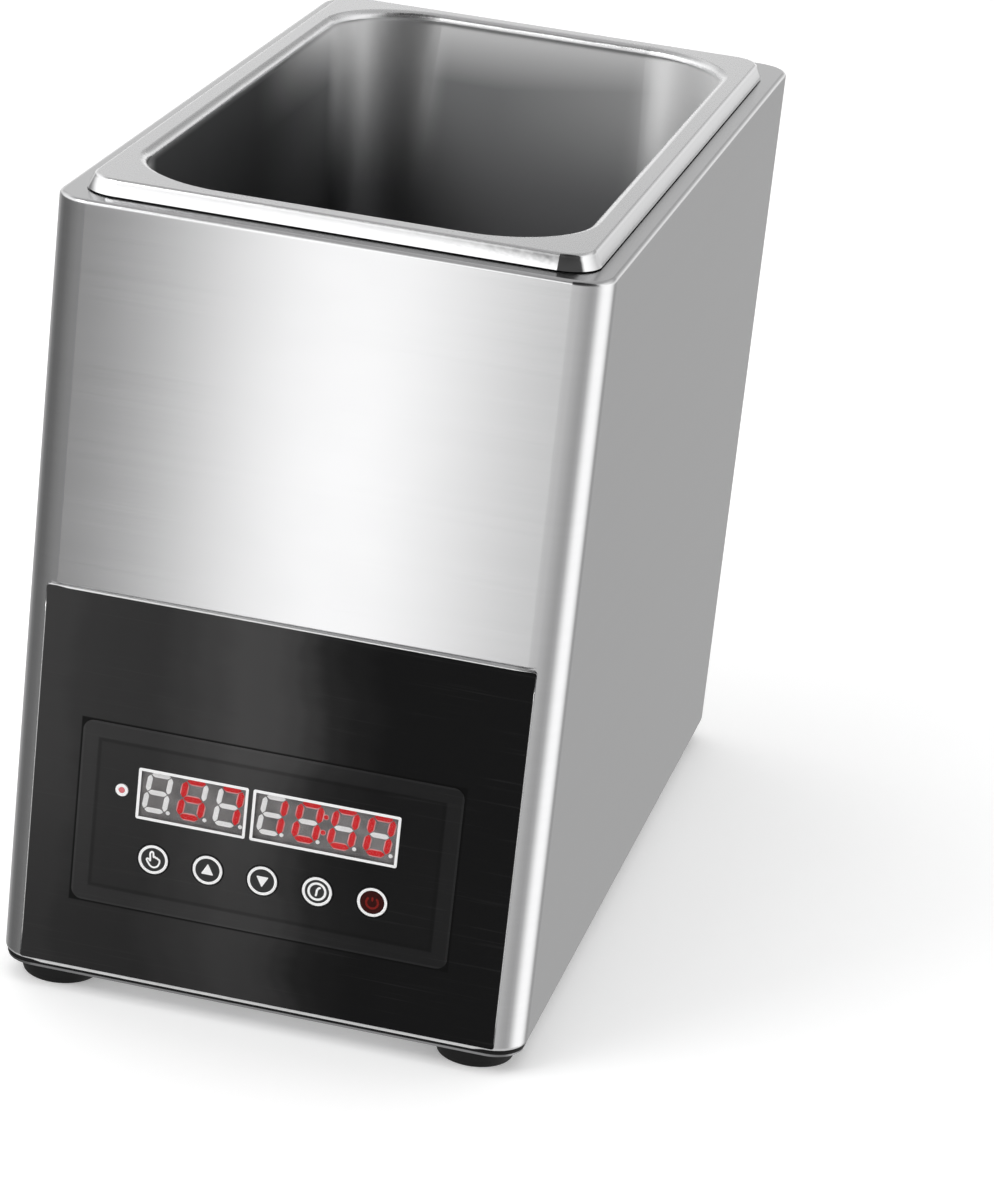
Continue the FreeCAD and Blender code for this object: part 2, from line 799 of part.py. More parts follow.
def element_terminals():
    """Ceramic collar and threaded pin at the end of each leg."""
    leg_y = element_back_y + element_bend
    foot_z = element_z - element_tail
    ends = []
    for x in (-element_half_span, element_half_span):
        collar = rod_z(element_radius + collar_growth, x, leg_y, foot_z - collar_height, foot_z)
        pin = rod_z(terminal_pin_radius, x, leg_y, foot_z - terminal_pin_length, foot_z - collar_height)
        ends.append(collar.fuse(pin).removeSplitter())
    return group(ends)


def clamp_under():
    """Underside of the clamp bars."""
    return element_z - element_radius - element_gap - clamp_sheet


def element_clamps():
    """Bars that press the hairpin against the plate."""
    low = clamp_under()
    bars = []
    for y in clamp_places:
        bar = box((-clamp_reach, clamp_reach), (y - clamp_width / 2, y + clamp_width / 2),
                  (low, low + clamp_sheet))
        bars.append(bar.cut(rod_z(m4_radius, 0, y, low - overshoot, low + 2 * overshoot)))
    return group(bars)


def clamp_bolts():
    """One screw through each bar, up to the plate."""
    screw = m4_screw(plate_under - clamp_under())
    return group([placed(screw, (0, y, clamp_under()), (0, 0, -1)) for y in clamp_places])


def overheat_cutout():
    """Snap-disc thermostat against the plate's underside, with two blades."""
    y = pan_y + cutout_setback
    low = plate_under - cutout_height
    ear_reach, ear_half_width, ear_sheet = 12.0, 3.5, 1.0
    blade_x, blade_half_sheet, blade_half_width, blade_length = 4.0, 0.4, 2.4, 3.4
    body = rod_z(cutout_radius, 0, y, low, plate_under)
    ears = box((-ear_reach, ear_reach), (y - ear_half_width, y + ear_half_width),
               (plate_under - ear_sheet, plate_under))
    blades = [box((x - blade_half_sheet, x + blade_half_sheet), (y - blade_half_width, y + blade_half_width),
                  (low - blade_length, low)) for x in (-blade_x, blade_x)]
    return body.fuse([ears] + blades).removeSplitter()


def probe_y():
    """Where the probe's tab starts under the plate."""
    return pan_y + probe_setback


def temperature_probe():
    """Thermistor in a steel barrel with a flat tab screwed under the plate."""
    y = probe_y()
    tab = box((-probe_tab_width / 2, probe_tab_width / 2), (y, y + probe_tab_length),
              (plate_under - probe_tab, plate_under))
    tab = tab.cut(rod_z(m3_radius, 0, y + probe_screw_y, plate_under - 2 * probe_tab, plate_top))
    barrel_end = y + probe_barrel_lap
    barrel = rod_y(probe_barrel_radius, 0, plate_under - probe_barrel_drop,
                   barrel_end - probe_barrel_length, barrel_end)
    return tab.fuse(barrel).removeSplitter()


# ---- control panel ------------------------------------------------------------------------------
def key_places():
    """Name and centre X of each key, from the left."""
    middle = (len(key_names) - 1) / 2
    return [(name, key_row_x + (index - middle) * key_pitch) for index, name in enumerate(key_names)]


def front_openings(y_low, y_high):
    """Solids that cut the panel stack for the keys, the lamp and both displays."""
    holes = [rod_y(key_radius + key_gap, x, key_z, y_low, y_high) for _, x in key_places()]
    holes.append(rod_y(lamp_radius + lamp_gap, lamp_x, lamp_z, y_low, y_high))
    return holes + window_blocks(y_low, y_high)


def window_blocks(y_low, y_high):
    """Rounded blocks the size of the two display windows."""
    height = digit_module_height + 2 * window_border
    return [upright_plate(width + 2 * window_border, height, window_corner, y_low, y_high, x, display_z)
            for width, x in ((three_digit_width, temperature_x), (four_digit_width, timer_x))]


def control_panel():
    """Black front plate over the lower half of the front."""
    low = case_bottom + panel_lift
    plate = upright_plate(panel_width, panel_height, panel_corner, case_front - panel_sheet, case_front,
                          0, low + panel_height / 2)
    for hole in front_openings(case_front - 2 * panel_sheet, case_front + overshoot):
        plate = plate.cut(hole)
    return plate


def keypad_film():
    """Raised film over the controls, sloping up from a thin edge to a flat middle."""
    back = case_front - panel_sheet
    edge = upright_plate(film_width, film_height, film_corner, back - film_edge, back, film_offset_x, film_z)
    low = (film_width, film_height, film_corner)
    high = (film_width - 2 * film_slope, film_height - 2 * film_slope, film_corner / 2)
    slope = tapered_slab(low, high, film_edge, film_sheet, (0, 0))
    slope.rotate(Vec(0, 0, 0), Vec(1, 0, 0), 90)
    slope.translate(Vec(film_offset_x, back, film_z))
    film = edge.fuse(slope)
    for hole in front_openings(film_front - overshoot, case_front):
        film = film.cut(hole)
    return film


def display_windows():
    """Clear pane in front of each display, flush with the film."""
    return group(window_blocks(film_front, film_front + window_sheet))


def display_module(width, x):
    """Moulded seven-segment block that stands on the control board."""
    front = film_front + window_sheet + window_gap
    return upright_plate(width, digit_module_height, module_corner, front, case_front + board_front,
                         x, display_z)


def heating_lamp():
    """Indicator lamp: round lens through the panel, on a wider base on the board."""
    lens = rod_y(lamp_radius, lamp_x, lamp_z, case_front - front_proud, case_front + board_front)
    lens = lens.makeFillet(lamp_lens_round, [edge for edge in lens.Edges if edge.BoundBox.YMax < case_front])
    back = case_front + board_front
    base = rod_y(lamp_radius + lamp_base_growth, lamp_x, lamp_z, back - lamp_base_height, back)
    return lens.fuse(base).removeSplitter()


def key(x):
    """Round key: cap through the panel, retaining flange behind it, stem into its switch."""
    front = case_front - front_proud
    back = case_front + sheet + key_stop_gap
    cap = rod_y(key_radius, x, key_z, front, back)
    cap = cap.makeFillet(key_proud, [edge for edge in cap.Edges if edge.BoundBox.YMax < case_front])
    flange = rod_y(key_flange_radius, x, key_z, back, back + key_flange)
    stem = rod_y(key_stem_radius, x, key_z, back + key_flange, case_front + key_stem_end)
    return cap.fuse([flange, stem]).removeSplitter()


def tact_switches():
    """Five push switches on the board, each bored for its key's stem."""
    switches = []
    half = switch_size / 2
    front = case_front + board_front - switch_height
    for _, x in key_places():
        body = box((x - half, x + half), (front, case_front + board_front), (key_z - half, key_z + half))
        bore = rod_y(switch_bore, x, key_z, front - overshoot, front + switch_height - switch_floor)
        switches.append(body.cut(bore))
    return group(switches)


def board_post_places():
    """Corners where the control board is fixed."""
    half_x = board_width / 2 - board_post_inset
    half_z = board_height / 2 - board_post_inset
    return [(film_offset_x + hand * half_x, board_z + end * half_z) for hand in (-1, 1) for end in (-1, 1)]


def control_board():
    """Circuit board behind the front."""
    board = upright_plate(board_width, board_height, board_corner, case_front + board_front,
                          case_front + board_back, film_offset_x, board_z)
    for x, z in board_post_places():
        board = board.cut(rod_y(m3_radius, x, z, case_front, case_front + board_back + overshoot))
    return board


def board_standoffs():
    """Posts that carry the control board off the front and the power board off the base plate."""
    posts = []
    for x, z in board_post_places():
        post = rod_y(standoff_radius, x, z, case_front + sheet, case_front + board_front)
        thread = rod_y(m3_radius, x, z, case_front + sheet + standoff_floor, case_front + board_back)
        posts.append(post.cut(thread))
    for x, y in power_board_posts():
        post = rod_z(standoff_radius, x, y, base_top, power_board_under)
        posts.append(post.cut(rod_z(m3_radius, x, y, base_top + power_standoff_floor, power_board_top)))
    return group(posts)


def board_screws():
    """Screws that hold both boards, and the one through the probe's tab."""
    screw = m3_screw(board_sheet + board_screw_grip)
    screws = [placed(screw, (x, case_front + board_back, z), (0, 1, 0)) for x, z in board_post_places()]
    screws += [placed(screw, (x, y, power_board_top)) for x, y in power_board_posts()]
    probe_screw_place = (0, probe_y() + probe_screw_y, plate_under - probe_tab)
    screws.append(placed(m3_screw(probe_tab), probe_screw_place, (0, 0, -1)))
    return group(screws)


def board_chips():
    """Controller and two display drivers on the back of the control board."""
    back = case_front + board_back
    chip_height = 2.0
    controller = (11.0, 11.0, -30.0)
    driver_width, driver_length = 6.0, 10.0
    chips = [controller] + [(driver_width, driver_length, x) for x in (2.0, 22.0)]
    return group([box((x - width / 2, x + width / 2), (back, back + chip_height),
                      (board_z - length / 2, board_z + length / 2)) for width, length, x in chips])


def board_buzzer():
    """Buzzer on the back of the control board."""
    back = case_front + board_back
    radius, height, x, lift = 6.0, 9.0, 42.0, 8.0
    hole_radius, hole_depth = 1.2, 5.0
    sounder = rod_y(radius, x, board_z + lift, back, back + height)
    hole = rod_y(hole_radius, x, board_z + lift, back + height - hole_depth, back + height + overshoot)
    return sounder.cut(hole)


def ribbon_headers():
    """Headers for the ribbon: one behind the control board, one on the power board."""
    back = case_front + board_back
    middle = board_z - header_drop
    upper = box((-header_width / 2, header_width / 2), (back, back + header_height),
                (middle - header_thickness / 2, middle + header_thickness / 2))
    lower = on_power_board(0.0, header_inset - power_board_depth / 2, header_width, header_thickness,
                           header_height)
    return group([upper, lower])


# ---- power side ---------------------------------------------------------------------------------
def power_board_posts():
    """Corners where the power board is fixed."""
    half_x = power_board_width / 2 - power_board_post_inset
    half_y = power_board_depth / 2 - power_board_post_inset
    return [(hand * half_x, power_board_y + end * half_y) for hand in (-1, 1) for end in (-1, 1)]


def power_board():
    """Circuit board on the base plate."""
    board = slab(power_board_width, power_board_depth, board_corner, power_board_under, power_board_top,
                 (0, power_board_y))
    for x, y in power_board_posts():
        board = board.cut(rod_z(m3_radius, x, y, base_top, case_top))
    return board


def on_power_board(x, y, width, depth, height):
    """Block standing on the power board."""
    return box((x - width / 2, x + width / 2), (power_board_y + y - depth / 2, power_board_y + y + depth / 2),
               (power_board_top, power_board_top + height))


def transformer():
    """Small mains transformer: laminated core with its bobbin."""
    x, y = -26.0, -4.0
    core_width, core_depth, core_height = 42.0, 18.0, 34.0
    bobbin_width, bobbin_depth, bobbin_height = 26.0, 34.0, 26.0
    core = on_power_board(x, y, core_width, core_depth, core_height)
    bobbin = on_power_board(x, y, bobbin_width, bobbin_depth, bobbin_height)
    return core.fuse(bobbin).removeSplitter()


def heater_relay():
    """Relay that switches the element."""
    x, y, width, depth, height = 22.0, 14.0, 20.0, 16.0, 17.0
    upright_round = 0.8
    relay = on_power_board(x, y, width, depth, height)
    uprights = [edge for edge in relay.Edges if edge.BoundBox.ZMax - edge.BoundBox.ZMin > height / 2]
    return relay.makeFillet(upright_round, uprights)


def filter_capacitor():
    """Electrolytic capacitor."""
    radius, height, x, y = 5.0, 18.0, 42.0, power_board_y - 8.0
    top_round = 0.7
    can = rod_z(radius, x, y, power_board_top, power_board_top + height)
    return can.makeFillet(top_round, ring_edges(can, power_board_top + height))


def board_fuse():
    """Glass fuse with its two end caps, in one piece with its clips."""
    start, y, z = 18.0, power_board_y - 30.0, power_board_top + 4.5
    tube_radius, tube_length = 2.6, 20.0
    clip_length, clip_half_width, clip_rise = 5.0, 3.2, 1.0
    tube = Part.makeCylinder(tube_radius, tube_length, Vec(start, y, z), Vec(1, 0, 0))
    clips = [box((x, x + clip_length), (y - clip_half_width, y + clip_half_width),
                 (power_board_top, z + clip_rise)) for x in (start, start + tube_length - clip_length)]
    return tube.fuse(clips).removeSplitter()


def board_terminals():
    """Row of screw terminals along the power board's rear edge."""
    return on_power_board(0.0, power_board_depth / 2 - terminal_row_inset, terminal_row_width,
                          terminal_row_depth, terminal_row_height)


def terminal_entry():
    """Y and Z where the leads enter the row of terminals."""
    y = power_board_y + power_board_depth / 2 - terminal_row_inset + terminal_row_depth / 2
    return y, power_board_top + terminal_entry_lift


def earth_place():
    """Earth stud near the rear of the base plate."""
    return (earth_x, case_back - earth_inset)


def earth_stud():
    """Stud welded to the base plate."""
    return rod_z(m4_radius, *earth_place(), foot_height, base_top + earth_stud_height)


def power_inlet():
    """Three-pin appliance inlet: flange outside the rear panel, body and hollow behind it."""
    outside = case_back + rear_proud
    inside = case_back - inlet_back
    flange = upright_plate(inlet_flange_width, inlet_flange_height, inlet_flange_corner, case_back, outside,
                           inlet_x, inlet_z)
    body = upright_plate(inlet_body_width, inlet_body_height, inlet_body_corner, inside, case_back,
                         inlet_x, inlet_z)
    shape = flange.fuse(body).removeSplitter()
    cavity = upright_plate(inlet_cavity_width, inlet_cavity_height, inlet_cavity_corner,
                           outside - inlet_cavity_depth, outside + overshoot, inlet_x, inlet_z)
    shape = shape.cut(cavity)
    for hand in (-1, 1):
        x = inlet_x + hand * inlet_screw_spacing / 2
        shape = shape.cut(rod_y(m3_radius, x, inlet_z, case_back - overshoot, outside + overshoot))
        shape = shape.cut(inlet_screw_cone(x))
    for x, z in inlet_pin_places():
        shape = shape.cut(inlet_pin(x, z, inside - overshoot, outside))
    return shape


def inlet_screw_cone(x):
    """Countersunk head, flush with the inlet's flange."""
    seat = case_back + rear_proud - inlet_screw_sink
    return Part.makeCone(m3_radius, m3_head_radius, inlet_screw_sink, Vec(x, seat, inlet_z), Vec(0, 1, 0))


def inlet_pin(x, z, y_low, y_high):
    """Flat pin between two depths."""
    return box((x - inlet_pin_width / 2, x + inlet_pin_width / 2), (y_low, y_high),
               (z - inlet_pin_height / 2, z + inlet_pin_height / 2))


def inlet_pin_places():
    """Live, neutral and earth pins; the earth pin stands higher."""
    low = inlet_z - inlet_pin_stagger
    return [(inlet_x - inlet_pin_spacing, low), (inlet_x + inlet_pin_spacing, low),
            (inlet_x, inlet_z + inlet_pin_stagger)]


def inlet_tag_y():
    """Y of the solder tags' ends."""
    return case_back - inlet_back - inlet_tag


def inlet_pins():
    """Flat contact pins, each running on into a solder tag behind the body."""
    tip = case_back + rear_proud - inlet_cavity_depth + inlet_pin_length
    return group([inlet_pin(x, z, inlet_tag_y(), tip) for x, z in inlet_pin_places()])


def inlet_screws():
    """Countersunk screws, flush with the inlet's flange."""
    outside = case_back + rear_proud
    slot_reach, slot_depth, slot_half_width = m3_head_radius * 0.6, 0.7, 0.4
    screws = []
    for hand in (-1, 1):
        x = inlet_x + hand * inlet_screw_spacing / 2
        shank = rod_y(m3_radius, x, inlet_z, case_back - inlet_screw_reach, outside - inlet_screw_sink)
        slot = box((x - slot_reach, x + slot_reach), (outside - slot_depth, outside + overshoot),
                   (inlet_z - slot_half_width, inlet_z + slot_half_width))
        screws.append(inlet_screw_cone(x).fuse(shank).removeSplitter().cut(slot))
    return group(screws)


# ---- internal leads -----------------------------------------------------------------------------
def mains_leads():
    """Live and neutral from the inlet's tags to the board's rear terminals."""
    tag_y = inlet_tag_y()
    end_y, end_z = terminal_entry()
    straight = 14.0
    leads = []
    for (x, z), end_x in zip(inlet_pin_places()[:2], (10.0, 24.0)):
        leads.append(lead([(x, tag_y, z), (x, tag_y - straight, z), (end_x, end_y + straight, end_z),
                           (end_x, end_y, end_z)]))
    return group(leads)


def earth_lead():
    """Earth from the inlet's upper tag to the ring on the earth stud."""
    x, z = inlet_pin_places()[2]
    tag_y = inlet_tag_y()
    stud_x, stud_y = earth_place()
    clearance = 0.1
    low = base_top + clearance + lead_radius
    straight, drop_start, drop_end, drop_height = 10.0, 50.0, 30.0, 34.6
    return lead([(x, tag_y, z), (x, tag_y - straight, z), (stud_x + drop_start, stud_y, low + drop_height),
                 (stud_x + drop_end, stud_y, low), (stud_x + earth_barrel_end, stud_y, low)])


def earth_ring():
    """Crimped ring under the earth nut."""
    x, y = earth_place()
    ring_top = base_top + earth_ring_sheet
    ring = rod_z(2 * m4_radius, x, y, base_top, ring_top)
    barrel = box((x + earth_barrel_start, x + earth_barrel_end),
                 (y - earth_barrel_width / 2, y + earth_barrel_width / 2), (base_top, ring_top))
    return ring.fuse(barrel).removeSplitter().cut(rod_z(m4_radius, x, y, 0, case_bottom + sheet))


def heater_leads():
    """From the board's terminals up to the element's pins."""
    leg_y = element_back_y + element_bend
    pin_z = element_z - element_tail - terminal_pin_length
    start_y, start_z = terminal_entry()
    straight, rise = 12.0, 26.0
    leads = []
    for x, start_x in ((-element_half_span, -24.0), (element_half_span, -10.0)):
        leads.append(lead([(start_x, start_y, start_z), (start_x, start_y + straight, start_z),
                           (x, leg_y, pin_z - rise), (x, leg_y, pin_z)]))
    return group(leads)


def probe_lead():
    """From the probe's barrel down through the well's floor to the power board."""
    z = plate_under - probe_barrel_drop
    start_y = probe_y() + probe_barrel_lap - probe_barrel_length
    hole_y = sensor_hole_y()
    drop, end_x, end_y, end_rise = 10.0, 8.0, hole_y + 14.0, 40.0
    route = [(0, start_y, z), (0, hole_y, z), (0, hole_y, shield_under - drop),
             (end_x, end_y, power_board_top + end_rise), (end_x, end_y, power_board_top)]
    return lead(route, probe_lead_radius)


def panel_ribbon():
    """Flat ribbon from the control board's header to the power board's header."""
    start = Vec(0, case_front + board_back + header_height, board_z - header_drop)
    end = Vec(0, power_board_y - power_board_depth / 2 + header_inset - header_thickness / 2,
              power_board_top + header_height / 2)
    first_run, last_run = 22.0, 40.0
    path = lead_path([tuple(point) for point in
                      (start, start + Vec(0, first_run, 0), end - Vec(0, last_run, 0), end)])
    corners = [Vec(side * ribbon_width / 2, start.y, start.z + lift * ribbon_sheet / 2)
               for side, lift in ((-1, -1), (1, -1), (1, 1), (-1, 1), (-1, -1))]
    return path.makePipeShell([Part.makePolygon(corners)], True, False)


# ---- write every node ---------------------------------------------------------------------------
def main():
    os.makedirs("parts", exist_ok=True)
    builders = (
        cabinet_shell, top_deck, rim_seal, base_gasket, base_plate, rubber_feet, foot_screws, base_screws,
        rear_panel, rear_screws, gn_pan,
        well_liner, insulation_wrap, bottom_insulation, heat_shield, shield_studs, m4_nuts,
        heater_plate, plate_posts, heater_element, element_terminals, element_clamps, clamp_bolts,
        overheat_cutout, temperature_probe,
        control_panel, keypad_film, display_windows, heating_lamp, tact_switches,
        control_board, board_standoffs, board_screws, board_chips, board_buzzer, ribbon_headers,
        power_board, transformer, heater_relay, filter_capacitor, board_fuse, board_terminals,
        earth_stud, earth_ring,
        power_inlet, inlet_pins, inlet_screws,
        mains_leads, earth_lead, heater_leads, probe_lead, panel_ribbon,
    )
    for builder in builders:
        save(builder.__name__, builder())
    save("temperature_display", display_module(three_digit_width, temperature_x))
    save("timer_display", display_module(four_digit_width, timer_x))
    for name, x in key_places():
        save(name, key(x))
    print("foot contact", foot_places())
    print("pan centre y", pan_y, "rim top", rim_top)


main()
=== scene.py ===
import math

import bmesh
import bpy
import numpy as np
from mathutils import Matrix, Vector


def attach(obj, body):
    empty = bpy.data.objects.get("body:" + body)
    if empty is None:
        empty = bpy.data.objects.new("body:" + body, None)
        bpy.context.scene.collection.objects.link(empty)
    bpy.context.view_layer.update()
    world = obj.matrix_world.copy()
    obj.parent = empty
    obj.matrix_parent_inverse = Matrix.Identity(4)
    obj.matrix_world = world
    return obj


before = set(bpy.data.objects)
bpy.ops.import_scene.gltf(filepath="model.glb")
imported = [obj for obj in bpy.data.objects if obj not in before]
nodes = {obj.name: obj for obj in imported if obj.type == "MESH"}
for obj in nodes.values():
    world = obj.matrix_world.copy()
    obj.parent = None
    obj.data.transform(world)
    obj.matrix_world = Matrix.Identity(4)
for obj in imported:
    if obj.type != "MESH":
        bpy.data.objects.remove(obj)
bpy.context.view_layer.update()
mm = 0.001
print("frame loaded:", len(nodes), "nodes")


cameraView = {
    "place": (0.326632, -1.489612, 0.666139),  # metres
    "azimuth": 11.08,  # degrees, 0 looks along +Y
    "elevation": 20.22,
    "roll": 6.39,
    "lens": 128.9167,
    "sensor": 36.0,
}


def placeCamera(values):
    # the back axis from azimuth and elevation, right and down square to it, both turned by the roll
    a, e, r = (math.radians(values[key]) for key in ("azimuth", "elevation", "roll"))
    back = Vector((math.sin(a) * math.cos(e), -math.cos(a) * math.cos(e), math.sin(e)))
    right = (-back).cross(Vector((0, 0, 1))).normalized()
    down = (-back).cross(right)
    right, down = right * math.cos(r) - down * math.sin(r), right * math.sin(r) + down * math.cos(r)
    turn = Matrix((right, -down, back)).transposed().to_4x4()
    data = bpy.data.cameras.new("camera")
    data.lens = values["lens"]
    data.sensor_width = values["sensor"]
    camera = bpy.data.objects.new("camera", data)
    camera.matrix_world = Matrix.Translation(values["place"]) @ turn
    bpy.context.scene.collection.objects.link(camera)
    bpy.context.scene.camera = camera


placeCamera(cameraView)
print("camera placed")


def feed(tree, socket, value):
    # a value that comes from a node is linked, a number or a colour is set on the socket itself
    if isinstance(value, bpy.types.NodeSocket):
        tree.links.new(value, socket)
    else:
        socket.default_value = value


def addNode(tree, kind, inputs=None, **settings):
    node = tree.nodes.new(kind)
    for name, value in settings.items():
        setattr(node, name, value)
    for key, value in (inputs or {}).items():
        feed(tree, node.inputs[key], value)
    return node


def sums(tree, operation, first, second=0.0, third=0.0):
    return addNode(tree, "ShaderNodeMath", {0: first, 1: second, 2: third}, operation=operation).outputs[0]


def times(tree, first, *others):
    for other in others:
        first = sums(tree, "MULTIPLY", first, other)
    return first


def spread(tree, value, low, high, start=0.0, end=1.0, shape="LINEAR"):
    # value between start and end becomes a number between low and high
    inputs = {"Value": value, "From Min": start, "From Max": end, "To Min": low, "To Max": high}
    return addNode(tree, "ShaderNodeMapRange", inputs, interpolation_type=shape).outputs[0]


def rising(tree, value, start, end):
    # nothing below start, all above end, with a smooth step between
    return spread(tree, value, 0.0, 1.0, start, end, "SMOOTHSTEP")


def falling(tree, value, start, end):
    # all below start, nothing above end, with a smooth step between
    return spread(tree, value, 1.0, 0.0, start, end, "SMOOTHSTEP")


def swing(tree, noise, reach, middle):
    # noise about one half moves the middle value up and down by its reach
    return sums(tree, "MULTIPLY_ADD", sums(tree, "SUBTRACT", noise, 0.5), reach, middle)


def gap(tree, value, middle):
    return sums(tree, "ABSOLUTE", sums(tree, "SUBTRACT", value, middle))


def beyond(tree, value, middle, half):
    # how far a place lies outside a strip with this middle and half width
    return sums(tree, "SUBTRACT", gap(tree, value, middle), half)


def blendColour(tree, share, first, second, kind="MIX"):
    node = addNode(tree, "ShaderNodeMix", {0: share, 6: first, 7: second}, data_type="RGBA", blend_type=kind)
    return node.outputs[2]


def blendValue(tree, share, first, second):
    return addNode(tree, "ShaderNodeMix", {0: share, 2: first, 3: second}, data_type="FLOAT").outputs[0]


def follow(tree, share, stops, shape="LINEAR"):
    # grey stops, each a place from 0 to 1 and a value, joined up in the given shape
    ramp = addNode(tree, "ShaderNodeValToRGB", {0: share})
    ramp.color_ramp.interpolation = shape
    elements = ramp.color_ramp.elements
    for number, (where, value) in enumerate(stops):
        stop = elements[number] if number < 2 else elements.new(where)
        stop.position = where
        stop.color = (value,) * 3 + (1.0,)
    return ramp.outputs[0]


def split(tree, vector):
    return addNode(tree, "ShaderNodeSeparateXYZ", {0: vector}).outputs


def colour(values, factor=1.0):
    return tuple(min(1.0, value * factor) for value in values) + (1.0,)


def shades(look):
    return [colour(look["colour"], factor) for factor in look["shades"]]


def startFinish(name):
    material = bpy.data.materials.new(name)
    material.use_nodes = True
    tree = material.node_tree
    shader = tree.nodes["Principled BSDF"]
    place = addNode(tree, "ShaderNodeTexCoord").outputs["Object"]
    return material, tree, shader, place


def speckle(tree, place, scale, detail, roughness=0.55, seed=0.0):
    # noise on object coordinates multiplied by a scale of its own along each axis
    where = addNode(tree, "ShaderNodeMapping", {"Vector": place, "Location": (seed, seed, seed), "Scale": scale})
    inputs = {"Vector": where.outputs[0], "Scale": 1.0, "Detail": detail, "Roughness": roughness}
    return addNode(tree, "ShaderNodeTexNoise", inputs, noise_dimensions="3D").outputs["Fac"]


def relief(tree, height, distance, under=None):
    inputs = {"Height": height, "Distance": distance, "Strength": 1.0}
    if under is not None:
        inputs["Normal"] = under
    return addNode(tree, "ShaderNodeBump", inputs).outputs[0]


socketNames = {
    "tone": "Base Color", "rough": "Roughness", "normal": "Normal", "metal": "Metallic", "stretch": "Anisotropic",
    "along": "Tangent", "gloss": "Specular IOR Level", "cover": "Alpha", "glow": "Emission Strength",
    "glowColour": "Emission Color",
}


def dress(tree, shader, **values):
    for key, value in values.items():
        feed(tree, shader.inputs[socketNames[key]], value)


noiseSpan = (0.3, 0.7)  # most of a noise lies between these
wideSpan = (0.2, 0.8)


def brushedMetal(name, look):
    # fine grain lines from noise drawn out along the brushing, with coarser ones laid in; they vary colour,
    # roughness and height, and slow smudges add to the roughness; highlights stretch square to the lines
    material, tree, shader, place = startFinish(name)
    lines = speckle(tree, place, look["grain"], 4.0, 0.65)
    coarse = speckle(tree, place, tuple(look["coarse"] * value for value in look["grain"]), 2.0, 0.5, 3.7)
    both = sums(tree, "MULTIPLY_ADD", coarse, look["coarseShare"], times(tree, lines, 1 - look["coarseShare"]))
    smudge = speckle(tree, place, look["smudge"], 3.0, 0.6, 1.3)
    dull = spread(tree, smudge, look["roughness"], look["roughness"] + look["smudgeShift"], *look["smudgeFade"])
    tone = blendColour(tree, spread(tree, both, 0.0, 1.0, *noiseSpan), *shades(look))
    across = addNode(tree, "ShaderNodeCombineXYZ", dict(enumerate(look["across"]))).outputs[0]
    dress(tree, shader, tone=tone, rough=swing(tree, both, look["roughShift"], dull),
          normal=relief(tree, both, look["depth"]), metal=1.0, stretch=look["stretch"], along=across)
    return material


